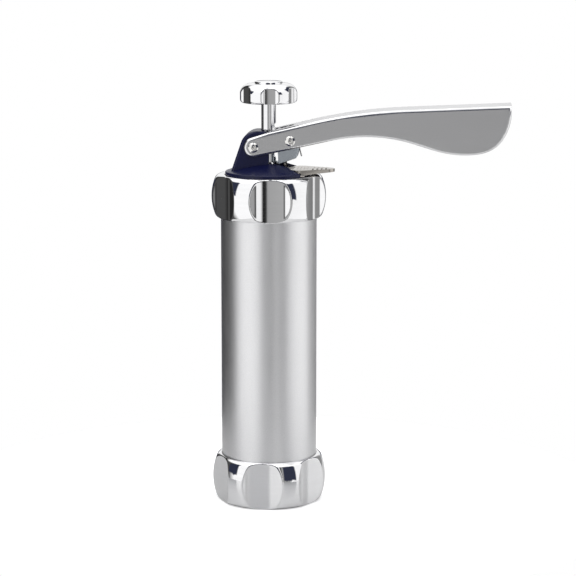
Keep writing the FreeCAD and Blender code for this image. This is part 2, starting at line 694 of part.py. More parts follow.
# ------------------------------------------------------------------ lever
def make_lever():
    """A pressed channel, open below, that deepens into a paddle. Its own origin is the pivot."""
    body = new_body("lever")
    reach = "dim.lever_reach"
    ear = "dim.ear_radius"
    paddle_start = f"({reach} - dim.paddle_length)"
    heel = f"({reach} - dim.heel_length)"
    top_tilt, under_tilt = "17.6deg", "12.6deg"
    outline = new_sketch(body, "XZ_Plane")
    add_outline(outline, [
        (f"-{ear} * sin({top_tilt})", f"{ear} * cos({top_tilt})"),
        (f"{ear} * sin({under_tilt})", f"-{ear} * cos({under_tilt})"),
        ("dim.waist_x", "dim.waist_height"),
        (heel, "dim.heel_height"),
        (f"{heel} + 12", "dim.heel_height - 3.7"),
        (f"{heel} + 30", "dim.heel_height - 6.3"),
        (f"{heel} + 41", "dim.heel_height - 4.8"),
        (f"{heel} + 51", "dim.heel_height + 3.1"),
        (reach, "dim.paddle_end_height - 6"),
        (reach, "dim.paddle_end_height"),
        (paddle_start, "dim.paddle_height"),
        ("dim.neck_length", "dim.neck_height"),
        (web_start, "dim.web_start_height"),
    ], arcs={0: ear, 2: "-dim.arch_radius", 4: "60", 5: "37", 6: "17.5", 7: "28",
             10: "dim.web_bow"})
    pad(body, outline, "dim.lever_width", symmetric=True)
    side, start, end = number("dim.lever_width / 2"), number(web_start), number(reach)
    low = number("dim.web_start_height") - 0.1

    def on_web_edge(edge):
        """The two long upper edges."""
        middle = edge.CenterOfMass
        beside = all(abs(abs(v.Y) - side) < 1e-4 for v in edge.Vertexes)
        above = all(v.X > start - 1e-3 and v.Z > low for v in edge.Vertexes)
        return beside and above and abs(middle.y) > side - 1e-4 and middle.x < end - 0.01

    round_edges(body, "dim.lever_bend", on_web_edge)

    hollow = new_sketch(body, "XZ_Plane")
    beyond = "3"
    slope = f"((dim.paddle_end_height - dim.paddle_height) / dim.paddle_length)"
    below = f"-{ear} - 8"
    add_outline(hollow, [
        (f"-{ear} - {beyond}", below),
        (f"{reach} + {beyond}", below),
        (f"{reach} + {beyond}", f"dim.paddle_end_height + {beyond} * {slope} - dim.sheet"),
        (paddle_start, "dim.paddle_height - dim.sheet"),
        ("dim.neck_length", "dim.neck_height - dim.sheet"),
        (web_start, "dim.web_start_height - dim.sheet"),
        (web_start, "dim.web_start_height + 6"),
        (f"-{ear} - {beyond}", "dim.web_start_height + 6"),
    ], arcs={3: "dim.web_bow"})
    pocket(body, hollow, "dim.lever_width - 2 * dim.sheet", symmetric=True)

    slot = new_sketch(body, "XY_Plane")
    half = "dim.lever_slot_width / 2"
    add_outline(slot, [
        ("0", f"-{half}"),
        (f"dim.lever_slot_end - {half}", f"-{half}"),
        (f"dim.lever_slot_end - {half}", half),
        ("0", half),
    ], arcs={1: f"{half} * 1.0001"})
    pocket(body, slot, upward=True)

    for centre, radius in ((("0", "0"), "dim.pin_radius + dim.running_gap"),
                           (("dim.drive_pin_reach", "dim.drive_pin_rise"), "dim.pin_radius")):
        holes = new_sketch(body, "XZ_Plane")
        add_circle(holes, centre, radius)
        pocket(body, holes, symmetric=True)
    place(body, pivot_x, "0", pivot_z)
    return body


# ------------------------------------------------------------------ drive pawl
def make_drive_pawl():
    """A folded bracket hung on the drive pin: two cheeks and a floor whose nose bites the rod."""
    body = new_body("drive_pawl")
    # places are given from the drive pin
    nose = f"({nose_x} - {drive_x})"
    floor_x, floor_z = f"({nose} + 1.75)", "-13.5"
    back_x, back_z = "3.0", "-10.0"
    fall = f"(({back_z} - {floor_z}) / ({back_x} - {floor_x}))"
    skin = f"(dim.sheet * sqrt(1 + {fall} * {fall}))"
    outline = new_sketch(body, "XZ_Plane")
    top_round = "(dim.pin_radius + 2.2)"
    add_outline(outline, [
        (floor_x, floor_z),
        (back_x, back_z),
        ("4.4", "-5.3"),
        (top_round, "0.5"),
        (f"-{top_round} * cos(45deg)", f"{top_round} * sin(45deg)"),
        ("-7.4", "-4.5"),
    ], arcs={3: f"{top_round} * 1.01"})
    pad(body, outline, "dim.pawl_width", symmetric=True)
    hollow = new_sketch(body, "XZ_Plane")
    beyond = "5"
    add_outline(hollow, [
        (f"{floor_x} - {beyond}", f"{floor_z} - {beyond} * {fall} + {skin}"),
        (f"{back_x} + {beyond}", f"{back_z} + {beyond} * {fall} + {skin}"),
        (f"{back_x} + {beyond}", "8"),
        (f"{floor_x} - {beyond}", "8"),
    ])
    pocket(body, hollow, "dim.pawl_width - 2 * dim.sheet", symmetric=True)
    tip = new_sketch(body, "XZ_Plane")
    add_outline(tip, [
        (f"{floor_x} + 1.25", f"{floor_z} + 1.25 * {fall}"),
        (f"{floor_x} + 1.25", f"{floor_z} + 1.25 * {fall} + {skin}"),
        (nose, f"{floor_z} - 1.75 * {fall} + {skin}"),
        (nose, f"{floor_z} - 1.75 * {fall} + 0.2"),
    ])
    pad(body, tip, "dim.pawl_nose_width", symmetric=True)
    holes = new_sketch(body, "XZ_Plane")
    add_circle(holes, ("0", "0"), "dim.pin_radius + dim.running_gap")
    pocket(body, holes, symmetric=True)
    place(body, drive_x, "0", drive_z)
    return body


def make_pawl_spacers():
    """Two tubes that centre the pawl between the lever's walls."""
    body = new_body("pawl_spacers")
    inside = "(dim.lever_width / 2 - dim.sheet)"
    length = f"({inside} - dim.pawl_width / 2 - dim.side_gap)"
    for level in (f"{inside} - {length}", f"-{inside}"):
        sketch = new_sketch(body, "XY_Plane", level)
        add_circle(sketch, ("0", "0"), "dim.pin_radius + 1.2")
        add_circle(sketch, ("0", "0"), "dim.pin_radius")
        pad(body, sketch, length)
    return body


def coil_spring(label, wire, radius, turns, legs, x, z):
    """A torsion spring about an axis along Y, with straight legs given from its centre."""
    pitch = wire * 2.15
    length = pitch * turns
    helix = Part.makeHelix(pitch, length, radius)
    start = helix.Edges[0].firstVertex().Point
    section = Part.Wire(Part.makeCircle(wire, start, Vector(0, 1, 0)))
    coil = Part.Wire(helix).makePipeShell([section], True, True)
    solid = coil if coil.ShapeType == "Solid" else Part.Solid(coil)
    solid.translate(Vector(0, 0, -length / 2))
    solid.rotate(Vector(), Vector(1, 0, 0), 90)
    for side, route in zip((1, -1), legs):
        level = side * length / 2
        points = [Vector(px, level, pz) for px, pz in route]
        for a, b in zip(points, points[1:]):
            solid = solid.fuse(Part.makeCylinder(wire, (b - a).Length, a, b - a))
        for joint in points[:-1]:
            solid = solid.fuse(Part.makeSphere(wire, joint))
    feature = doc.addObject("Part::Feature", label)
    feature.Shape = solid.removeSplitter()
    feature.Placement.Base = Vector(number(x), 0, number(z))
    feature.Label = label
    pieces.append(feature)
    return feature


# ------------------------------------------------------------------ release plate
def make_release_plate():
    """A thumb plate on a hinge pin: pressing its outer end lifts the inner end."""
    body = new_body("release_plate")
    under = f"({plate_z} - dim.plate_thickness)"
    lip_foot = f"({release_pin_z} - dim.release_pin_radius - 0.5)"
    side = new_sketch(body, "XZ_Plane")
    pin_x = "dim.release_pin_x"
    add_outline(side, [
        (nose_x, under),
        (f"{pin_x} - 6", under),
        (f"{pin_x} - 3", lip_foot),
        (f"{pin_x} + 1.9", lip_foot),
        (f"{pin_x} + 4.5", f"{deck} + 0.75"),
        ("dim.plate_reach + 1", f"{under} - 0.6"),
        ("dim.plate_reach + 1", plate_z),
        (nose_x, plate_z),
    ])
    pad(body, side, "2 * dim.plate_half_width", symmetric=True)

    def fan_outline(inset, front):
        """The plate's outline from above, drawn in by an inset."""
        shoulder = f"(dim.plate_half_width - {inset})"
        neck = f"(dim.plate_neck - {inset})"
        tip = f"(dim.plate_tip - {inset} * 0.7)"
        lower = [
            (front, f"-{neck}"),
            (f"{pin_x} - 9 + {inset}", f"-{neck}"),
            (f"{pin_x} - 2.5", f"-{shoulder}"),
            (f"{pin_x} + 0.8", f"-{shoulder}"),
            (f"dim.plate_reach - 3.2 - {inset} * 0.6", f"-{tip}"),
        ]
        return lower + [(x, y.replace("-", "", 1)) for x, y in reversed(lower)]

    around_it = new_sketch(body, "XY_Plane", f"{plate_z} + 1")
    far = "(dim.plate_reach + 5)"
    add_outline(around_it, [("-2", f"-{far}"), (far, f"-{far}"), (far, far), ("-2", far)])
    add_outline(around_it, fan_outline("0", nose_x), arcs={4: "4.37"})
    pocket(body, around_it)

    inside = new_sketch(body, "XY_Plane", under)
    add_outline(inside, fan_outline("dim.plate_lip", f"{nose_x} - 2"), arcs={4: "3.9"})
    pocket(body, inside)

    # two upright lugs that come up under the pawl
    for y in (-1, 1):
        lug = new_sketch(body, "XY_Plane", f"{plate_z} - 0.2")
        add_outline(lug, [
            ("9.0", f"{y} * 3.0"), ("10.0", f"{y} * 3.0"),
            ("10.0", f"{y} * 4.9"), ("9.0", f"{y} * 4.9"),
        ])
        pad(body, lug, "dim.plate_lug_height + 0.2")
    # the windows that the lugs are raised from
    for y in (-1, 1):
        window = new_sketch(body, "XY_Plane", f"{plate_z} + 0.5")
        add_outline(window, [
            ("10.6", f"{y} * 2.2"), ("14.6", f"{y} * 2.2"),
            ("14.6", f"{y} * 5.4"), ("11.4", f"{y} * 4.9"),
        ])
        pocket(body, window)
    # raised grip ribs near the tip
    for i in range(4):
        rib = new_sketch(body, "XY_Plane", f"{plate_z} - 0.2")
        x, half = f"(dim.plate_reach - 12 + {i} * 2.4)", f"(5.6 - {i} * 0.9)"
        add_outline(rib, [
            (f"{x} - 0.4", f"-{half}"), (f"{x} + 0.4", f"-{half}"),
            (f"{x} + 0.4", half), (f"{x} - 0.4", half),
        ])
        pad(body, rib, "0.2 + 0.35")
    bores = new_sketch(body, "XZ_Plane")
    add_circle(bores, (pin_x, release_pin_z), "dim.release_pin_radius + dim.running_gap")
    pocket(body, bores, symmetric=True)
    return body


def make_release_pin():
    body = new_body("release_pin")
    sketch = new_sketch(body, "XZ_Plane")
    add_circle(sketch, ("dim.release_pin_x", release_pin_z), "dim.release_pin_radius")
    pad(body, sketch, "2 * dim.plate_half_width + 0.4", symmetric=True)
    return body


# ------------------------------------------------------------------ rod, piston and knob
def make_push_rod():
    body = new_body("push_rod")
    stub_foot = f"({piston_foot} + 0.8)"
    rod_top = f"({knob_foot} + dim.knob_socket)"
    turn(body, [
        ("0", stub_foot),
        ("dim.stub_radius - 0.4", stub_foot),
        ("dim.stub_radius", f"{stub_foot} + 0.4"),
        ("dim.stub_radius", piston_top),
        ("dim.rod_radius", piston_top),
        ("dim.rod_radius", rod_top),
        ("dim.knob_screw_radius", rod_top),
        ("dim.knob_screw_radius", f"{rod_top} - dim.knob_screw_depth - 1"),
        ("0", f"{rod_top} - dim.knob_screw_depth - 1.9"),
    ])
    notch = new_sketch(body, "XZ_Plane")
    level = f"({deck} + dim.first_notch)"
    half, floor = "dim.notch_height / 2", "(dim.rod_radius - dim.notch_depth)"
    add_outline(notch, [
        (floor, f"{level} - {half} * 0.55"),
        ("dim.rod_radius + 1", f"{level} - {half} - 0.4"),
        ("dim.rod_radius + 1", f"{level} + {half} + 0.4"),
        (floor, f"{level} + {half} * 0.55"),
    ])
    cut = pocket(body, notch, symmetric=True)
    stacked(body, cut, "dim.notch_pitch", "dim.notch_count", down=True)
    return body


def make_piston_disc():
    body = new_body("piston_disc")
    outer = f"({bore} - dim.seat_gap)"
    seal_foot = f"({piston_foot} + (dim.piston_height - dim.seal_height) / 2)"
    seal_top = f"({seal_foot} + dim.seal_height)"
    seal_root = f"({outer} - dim.seal_depth)"
    plate_top = f"({piston_foot} + dim.piston_plate)"
    skirt = f"({outer} - dim.seal_depth - dim.piston_skirt)"
    stub_bore = "(dim.stub_radius + dim.running_gap)"
    recess_top = f"({piston_foot} + dim.nut_recess_depth)"
    turn(body, [
        (stub_bore, recess_top),
        ("dim.nut_recess_radius", recess_top),
        ("dim.nut_recess_radius", piston_foot),
        (outer, piston_foot),
        (outer, seal_foot),
        (seal_root, seal_foot),
        (seal_root, seal_top),
        (outer, seal_top),
        (outer, f"{piston_top} - dim.side_gap"),
        (skirt, f"{piston_top} - dim.side_gap"),
        (skirt, plate_top),
        ("dim.hub_radius + 2", plate_top),
        ("dim.hub_radius + 2", f"{piston_top} - dim.side_gap"),
        (stub_bore, f"{piston_top} - dim.side_gap"),
    ])
    return body


def make_piston_seal():
    body = new_body("piston_seal")
    outer = f"({bore} - dim.running_gap)"
    inner = f"({bore} - dim.seat_gap - dim.seal_depth)"
    foot = f"({piston_foot} + (dim.piston_height - dim.seal_height) / 2)"
    top = f"({foot} + dim.seal_height)"
    middle = f"({foot} + dim.seal_height / 2)"
    rim = f"({bore} - dim.seat_gap)"
    turn(body, [(inner, foot), (rim, foot), (outer, middle), (rim, top), (inner, top)])
    return body


def make_piston_washer():
    top = f"({piston_foot} + dim.nut_recess_depth - dim.side_gap)"
    return tube("piston_washer", "dim.nut_recess_radius - 1", "dim.stub_radius",
                f"{top} - dim.washer_thickness", "dim.washer_thickness")


def make_piston_nut():
    body = new_body("piston_nut")
    top = f"({piston_foot} + dim.nut_recess_depth - dim.side_gap - dim.washer_thickness)"
    sketch = new_sketch(body, "XY_Plane", f"{top} - dim.nut_height")
    corner = "(dim.nut_across_flats / 2 / cos(30deg))"
    add_outline(sketch, [(f"{corner} * cos({60 * i}deg)", f"{corner} * sin({60 * i}deg)")
                         for i in range(6)])
    add_circle(sketch, ("0", "0"), "dim.stub_radius")
    pad(body, sketch, "dim.nut_height")
    return body


knob_top = f"({knob_foot} + dim.knob_height)"
cap_seat = f"({knob_top} + dim.knob_cap_proud - dim.knob_cap_thickness)"
screw_head = "2.2"
screw_seat = f"({cap_seat} - {screw_head} - 0.3)"


def make_knob():
    body = new_body("knob")
    socket = f"({knob_foot} + dim.knob_socket)"
    head_bore = "(dim.knob_screw_head + 0.4)"
    screw_bore = "(dim.knob_screw_radius + 0.2)"
    turn(body, [
        ("dim.rod_radius", knob_foot),
        ("dim.knob_radius", knob_foot),
        ("dim.knob_radius", f"{knob_foot} + dim.knob_shoulder_start"),
        ("dim.knob_top_radius", knob_top),
        ("dim.knob_cap_radius", knob_top),
        ("dim.knob_cap_radius", cap_seat),
        (head_bore, cap_seat),
        (head_bore, screw_seat),
        (screw_bore, screw_seat),
        (screw_bore, socket),
        ("dim.rod_radius", socket),
    ], arcs={2: "dim.knob_shoulder"})
    edge, level = number("dim.knob_radius"), number(knob_foot)
    round_edges(body, "dim.knob_edge_round", lambda e: is_circle(e, edge, level))
    cut_scallops(body, "dim.knob_radius", "dim.knob_scallop_depth", "dim.knob_scallop_width",
                 "dim.knob_scallop_slope", knob_foot, "dim.ring_scallop_count")
    turn_about_z(body, "dim.knob_turned")
    return body


def make_knob_cap():
    body = new_body("knob_cap")
    radius = "(dim.knob_cap_radius - dim.running_gap)"
    top = f"({cap_seat} + dim.knob_cap_thickness)"
    chamfer = "0.4"
    turn(body, [("0", cap_seat), (radius, cap_seat), (radius, f"{top} - {chamfer}"),
                (f"{radius} - {chamfer}", top), ("0", top)])
    return body


def make_knob_screw():
    """The screw that clamps the knob to the rod's top, under the cap."""
    body = new_body("knob_screw")
    foot = f"({knob_foot} + dim.knob_socket - dim.knob_screw_depth)"
    turn(body, [
        ("0", foot),
        ("dim.knob_screw_radius", foot),
        ("dim.knob_screw_radius", screw_seat),
        ("dim.knob_screw_head", screw_seat),
        ("dim.knob_screw_head", f"{screw_seat} + {screw_head} * 0.7"),
        ("dim.knob_screw_head - 0.6", f"{screw_seat} + {screw_head}"),
        ("0", f"{screw_seat} + {screw_head}"),
    ])
    return body


# ------------------------------------------------------------------ build everything
make_barrel()
make_ring("lower_ring", "0", "dim.lower_ring_height", "0", "dim.outlet_lip", "dim.outlet_radius")
make_ring("upper_ring", f"({deck} - dim.upper_ring_height)", "dim.upper_ring_height", flange_top,
          deck, "(dim.dome_radius + dim.seat_gap)")
make_die_disc()
make_head()
make_head_base()
make_head_screws()
make_rod_bush()
make_pivot_bush()
place(make_pivot_washers(), pivot_x, "0", pivot_z, axis=(1, 0, 0), angle=90)
make_rivet("pivot_pin", pivot_x, pivot_z, "dim.side_gap")
make_lever()
make_rivet("drive_pin", drive_x, drive_z, "0")
make_drive_pawl()
place(make_pawl_spacers(), drive_x, "0", drive_z, axis=(1, 0, 0), angle=90)
coil = number("dim.pawl_coil")
coil_spring("pawl_spring", number("dim.pawl_wire"), coil, int(number("dim.pawl_coil_turns")),
            legs=[[(coil, 0), (4.9, -8.2), (5.4, -9.9)], [(coil, 0), (9.5, 5.4)]],
            x=drive_x, z=drive_z)
make_release_plate()
make_release_pin()
coil = number("dim.release_coil")
coil_spring("release_spring", number("dim.release_wire"), coil,
            int(number("dim.release_coil_turns")),
            legs=[[(coil, 0), (5.0, 0.9)], [(coil, 0), (4.0, -1.1)]],
            x="dim.release_pin_x", z=release_pin_z)
make_push_rod()
make_knob()
make_knob_cap()
make_knob_screw()
make_piston_disc()
make_piston_seal()
make_piston_washer()
make_piston_nut()

doc.recompute()
for item in doc.Objects:
    if "Invalid" in item.State or "Error" in item.State:
        raise RuntimeError(f"{item.Label} failed: {item.State}")
for piece in pieces:
    if piece.Shape.isNull() or not piece.Shape.isValid() or not piece.Shape.Solids:
        raise RuntimeError(f"{piece.Label} has no valid solid")
for piece in pieces:
    piece.Shape.exportStep(f"parts/{piece.Label}.step")
    box = piece.Shape.BoundBox
    print(f"{piece.Label:15s} {len(piece.Shape.Solids)} solid(s) {piece.Shape.Volume:10.1f} mm3"
          f"  x {box.XMin:.1f}..{box.XMax:.1f}  y {box.YMin:.1f}..{box.YMax:.1f}"
          f"  z {box.ZMin:.1f}..{box.ZMax:.1f}")
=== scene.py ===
import json
import math

import bmesh
import bpy
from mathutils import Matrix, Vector


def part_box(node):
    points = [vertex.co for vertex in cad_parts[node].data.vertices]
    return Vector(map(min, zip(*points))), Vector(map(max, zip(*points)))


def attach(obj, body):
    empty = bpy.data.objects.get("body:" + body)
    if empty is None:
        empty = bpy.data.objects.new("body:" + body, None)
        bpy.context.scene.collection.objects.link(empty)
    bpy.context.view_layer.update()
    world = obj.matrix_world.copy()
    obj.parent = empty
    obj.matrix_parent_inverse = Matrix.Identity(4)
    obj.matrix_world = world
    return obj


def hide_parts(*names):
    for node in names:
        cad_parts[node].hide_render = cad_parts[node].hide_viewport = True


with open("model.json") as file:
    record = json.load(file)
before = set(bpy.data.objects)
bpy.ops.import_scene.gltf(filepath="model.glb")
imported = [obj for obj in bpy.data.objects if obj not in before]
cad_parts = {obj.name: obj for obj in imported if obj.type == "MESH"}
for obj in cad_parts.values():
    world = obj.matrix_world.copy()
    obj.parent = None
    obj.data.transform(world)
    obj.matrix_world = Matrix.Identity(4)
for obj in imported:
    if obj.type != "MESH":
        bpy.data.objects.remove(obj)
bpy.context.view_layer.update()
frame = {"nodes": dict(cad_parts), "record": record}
record = frame["record"]
mm = 0.001

# ---------------------------------------------------------------- small helpers for meshes


def sizeOf(node):
    low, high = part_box(node)
    return Vector(low), Vector(high)


def bodyOf(node):
    for body, nodes in record["behaviour"]["bodies"].items():
        if node in nodes:
            return body


def addPiece(name, mesh, node=None, slot=None, body=None):
    # puts a finished mesh in the scene; node is the CAD node that it stands for
    piece = bpy.data.objects.new(name, mesh)
    bpy.context.scene.collection.objects.link(piece)
    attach(piece, body or bodyOf(node))
    if node:
        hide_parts(node)
        slot = slot or slotOf[node]
    return piece


def meshFrom(name, vertices, faces, sharpAngle=35):
    mesh = bpy.data.meshes.new(name)
    mesh.from_pydata([tuple(v) for v in vertices], [], faces)
    tidyMesh(mesh, sharpAngle)
    return mesh


def tidyMesh(mesh, sharpAngle=35, merge=1e-7):
    work = bmesh.new()
    work.from_mesh(mesh)
    bmesh.ops.remove_doubles(work, verts=work.verts, dist=merge)
    bmesh.ops.recalc_face_normals(work, faces=work.faces)
    work.to_mesh(mesh)
    work.free()
    mesh.shade_smooth()
    mesh.set_sharp_from_angle(angle=math.radians(sharpAngle))


def lathe(name, profile, segments=128, sharpAngle=35):
    # turns a closed profile of (radius, height) about Z; a point on the axis becomes a pole
    vertices, rings = [], []
    for radius, height in profile:
        if radius < 1e-9:
            rings.append([len(vertices)] * segments)
            vertices.append((0, 0, height))
            continue
        rings.append(list(range(len(vertices), len(vertices) + segments)))
        for i in range(segments):
            angle = 2 * math.pi * i / segments
            vertices.append((radius * math.cos(angle), radius * math.sin(angle), height))
    faces = []
    closed = profile[0][0] > 1e-9 and profile[-1][0] > 1e-9
    count = len(rings)
    for k in range(count if closed else count - 1):
        low, high = rings[k], rings[(k + 1) % count]
        for i in range(segments):
            j = (i + 1) % segments
            face = []
            for corner in (low[i], low[j], high[j], high[i]):
                if corner not in face:
                    face.append(corner)
            if len(face) > 2:
                faces.append(face)
    return meshFrom(name, vertices, faces, sharpAngle)


def roundCorner(centre, radius, start, stop, steps=6):
    # points of an arc about a centre, angles in degrees
    points = []
    for i in range(steps + 1):
        angle = math.radians(start + (stop - start) * i / steps)
        points.append((centre[0] + radius * math.cos(angle), centre[1] + radius * math.sin(angle)))
    return points


def shiftMesh(mesh, x=0.0, y=0.0, z=0.0, alongY=False):
    # lays a turned piece along Y if asked, and moves it into place
    for vertex in mesh.vertices:
        a, b, c = vertex.co
        vertex.co = (a + x, -c + y, b + z) if alongY else (a + x, b + y, c + z)
    mesh.update()
    return mesh


def softenedCopy(node, edge, sharpAngle=28, segments=2, flatAngle=0.6):
    # a copy of a CAD node with its flat faces joined and its edges slightly rounded
    source = frame["nodes"][node].data
    mesh = source.copy()
    mesh.name = node + "Soft"
    mesh.materials.clear()
    for layer in list(mesh.uv_layers):
        mesh.uv_layers.remove(layer)
    work = bmesh.new()
    work.from_mesh(mesh)
    bmesh.ops.remove_doubles(work, verts=work.verts, dist=2e-6)
    bmesh.ops.dissolve_limit(work, angle_limit=math.radians(flatAngle), verts=work.verts,
                             edges=work.edges)
    work.to_mesh(mesh)
    work.free()
    holder = bpy.data.objects.new(node + "Work", mesh)
    bpy.context.scene.collection.objects.link(holder)
    if edge:
        bevel = holder.modifiers.new("edge", "BEVEL")
        bevel.width = edge
        bevel.segments = segments
        bevel.limit_method = "ANGLE"
        bevel.angle_limit = math.radians(sharpAngle)
        bevel.use_clamp_overlap = True
    mesh.shade_smooth()
    mesh.set_sharp_from_angle(angle=math.radians(60))
    even = holder.modifiers.new("even", "WEIGHTED_NORMAL")
    even.mode = "FACE_AREA"
    even.weight = 80
    even.keep_sharp = True
    return evaluatedMesh(holder, node + "Piece")


def evaluatedMesh(holder, name):
    # the holder's mesh with its modifiers in it; the holder itself is removed
    bpy.context.view_layer.update()
    depsgraph = bpy.context.evaluated_depsgraph_get()
    mesh = bpy.data.meshes.new_from_object(holder.evaluated_get(depsgraph))
    mesh.name = name
    holder.modifiers.clear()
    bpy.data.objects.remove(holder)
    return mesh


# ---------------------------------------------------------------- geometry node helpers


def newTree(name, inputs):
    tree = bpy.data.node_groups.new(name, "GeometryNodeTree")
    tree.interface.new_socket("Geometry", in_out="INPUT", socket_type="NodeSocketGeometry")
    for label, kind, value in inputs:
        socket = tree.interface.new_socket(label, in_out="INPUT", socket_type=kind)
        if value is not None:
            socket.default_value = value
    tree.interface.new_socket("Geometry", in_out="OUTPUT", socket_type="NodeSocketGeometry")
    return tree, tree.nodes.new("NodeGroupInput"), tree.nodes.new("NodeGroupOutput")


def mathNode(tree, operation, *values):
    node = tree.nodes.new("ShaderNodeMath")
    node.operation = operation
    for socket, value in zip(node.inputs, values):
        if isinstance(value, (int, float)):
            socket.default_value = value
        else:
            tree.links.new(value, socket)
    return node.outputs[0]


def endTree(tree, groupInput, groupOutput, geometry):
    realize = tree.nodes.new("GeometryNodeRealizeInstances")
    paint = tree.nodes.new("GeometryNodeSetMaterial")
    tree.links.new(geometry, realize.inputs["Geometry"])
    tree.links.new(realize.outputs["Geometry"], paint.inputs["Geometry"])
    tree.links.new(groupInput.outputs["Material"], paint.inputs["Material"])
    tree.links.new(paint.outputs["Geometry"], groupOutput.inputs["Geometry"])


def throughTree(data, tree, values, name):
    # runs a mesh or curve through a tree and gives back the plain mesh
    holder = bpy.data.objects.new(name + "Work", data)
    bpy.context.scene.collection.objects.link(holder)
    modifier = holder.modifiers.new("tree", "NODES")
    modifier.node_group = tree
    for item in tree.interface.items_tree:
        if item.in_out == "INPUT" and item.name in values:
            modifier[item.identifier] = values[item.name]
    return evaluatedMesh(holder, name)


def scallopTree():
    # presses finger scallops into the side of a turned piece, all round it
    tree, given, result = newTree("scallopPress", [
        ("Scallops", "NodeSocketInt", 6),
        ("Floor", "NodeSocketFloat", 0.0284),
        ("Half Width", "NodeSocketFloat", 0.0088),
        ("Sag", "NodeSocketFloat", 0.0004),
        ("Side Slope", "NodeSocketFloat", 0.27),
        ("Turned", "NodeSocketFloat", 0.0),
        ("Edge Round", "NodeSocketFloat", 0.0004),
        ("Corner Round", "NodeSocketFloat", 0.0004),
        ("Material", "NodeSocketMaterial", None),
    ])
    place = tree.nodes.new("GeometryNodeInputPosition")
    split = tree.nodes.new("ShaderNodeSeparateXYZ")
    tree.links.new(place.outputs[0], split.inputs[0])
    x, y, z = split.outputs
    inputs = given.outputs

    def calc(operation, *values):
        return mathNode(tree, operation, *values)

    half = calc("DIVIDE", math.pi, inputs["Scallops"])
    angle = calc("SUBTRACT", calc("ARCTAN2", y, x), inputs["Turned"])
    folded = calc("FLOORED_MODULO", calc("ADD", angle, half), calc("MULTIPLY", half, 2.0))
    fromMiddle = calc("SUBTRACT", folded, half)
    radius = calc("SQRT", calc("ADD", calc("MULTIPLY", x, x), calc("MULTIPLY", y, y)))
    across = calc("DIVIDE", calc("MULTIPLY", calc("TANGENT", fromMiddle), inputs["Floor"]),
                  inputs["Half Width"])
    bowed = calc("MINIMUM", calc("MULTIPLY", across, across), 1.0)
    depth = calc("ADD", inputs["Floor"], calc("MULTIPLY", bowed, inputs["Sag"]))
    floorRadius = calc("DIVIDE", depth, calc("COSINE", fromMiddle))
    corner = calc("ADD", inputs["Floor"], inputs["Sag"])
    sideStart = calc("SUBTRACT", corner,
                     calc("MULTIPLY", inputs["Half Width"], inputs["Side Slope"]))
    lean = calc("MULTIPLY", calc("ABSOLUTE", calc("SINE", fromMiddle)), inputs["Side Slope"])
    sideRadius = calc("DIVIDE", sideStart, calc("SUBTRACT", calc("COSINE", fromMiddle), lean))
    scallop = calc("SMOOTH_MAX", floorRadius, sideRadius, inputs["Corner Round"])
    pressed = calc("SMOOTH_MIN", radius, scallop, inputs["Edge Round"])
    scale = calc("DIVIDE", pressed, calc("MAXIMUM", radius, 1e-6))
    join = tree.nodes.new("ShaderNodeCombineXYZ")
    tree.links.new(calc("MULTIPLY", x, scale), join.inputs[0])
    tree.links.new(calc("MULTIPLY", y, scale), join.inputs[1])
    tree.links.new(z, join.inputs[2])
    move = tree.nodes.new("GeometryNodeSetPosition")
    tree.links.new(inputs["Geometry"], move.inputs["Geometry"])
    tree.links.new(join.outputs[0], move.inputs["Position"])
    endTree(tree, given, result, move.outputs["Geometry"])
    return tree


def roundWireTree():
    # gives a curve the thickness of a round wire
    tree, given, result = newTree("roundWire", [
        ("Wire Radius", "NodeSocketFloat", 0.0004),
        ("Material", "NodeSocketMaterial", None),
    ])
    circle = tree.nodes.new("GeometryNodeCurvePrimitiveCircle")
    circle.inputs["Resolution"].default_value = 12
    tree.links.new(given.outputs["Wire Radius"], circle.inputs["Radius"])
    sweep = tree.nodes.new("GeometryNodeCurveToMesh")
    sweep.inputs["Fill Caps"].default_value = True
    tree.links.new(given.outputs["Geometry"], sweep.inputs["Curve"])
    tree.links.new(circle.outputs["Curve"], sweep.inputs["Profile Curve"])
    endTree(tree, given, result, sweep.outputs["Mesh"])
    return tree


def ringOfCopiesTree():
    # sets copies of a piece evenly on a circle
    tree, given, result = newTree("ringOfCopies", [
        ("Count", "NodeSocketInt", 3),
        ("Circle Radius", "NodeSocketFloat", 0.02),
        ("Height", "NodeSocketFloat", 0.0),
        ("Start", "NodeSocketFloat", 0.0),
        ("Material", "NodeSocketMaterial", None),
    ])
    circle = tree.nodes.new("GeometryNodeMeshCircle")
    tree.links.new(given.outputs["Count"], circle.inputs["Vertices"])
    tree.links.new(given.outputs["Circle Radius"], circle.inputs["Radius"])
    spin = tree.nodes.new("ShaderNodeCombineXYZ")
    tree.links.new(given.outputs["Start"], spin.inputs[2])
    lift = tree.nodes.new("ShaderNodeCombineXYZ")
    tree.links.new(given.outputs["Height"], lift.inputs[2])
    place = tree.nodes.new("GeometryNodeTransform")
    tree.links.new(circle.outputs["Mesh"], place.inputs["Geometry"])
    tree.links.new(spin.outputs[0], place.inputs["Rotation"])
    tree.links.new(lift.outputs[0], place.inputs["Translation"])
    copies = tree.nodes.new("GeometryNodeInstanceOnPoints")
    tree.links.new(place.outputs["Geometry"], copies.inputs["Points"])
    tree.links.new(given.outputs["Geometry"], copies.inputs["Instance"])
    endTree(tree, given, result, copies.outputs["Instances"])
    return tree


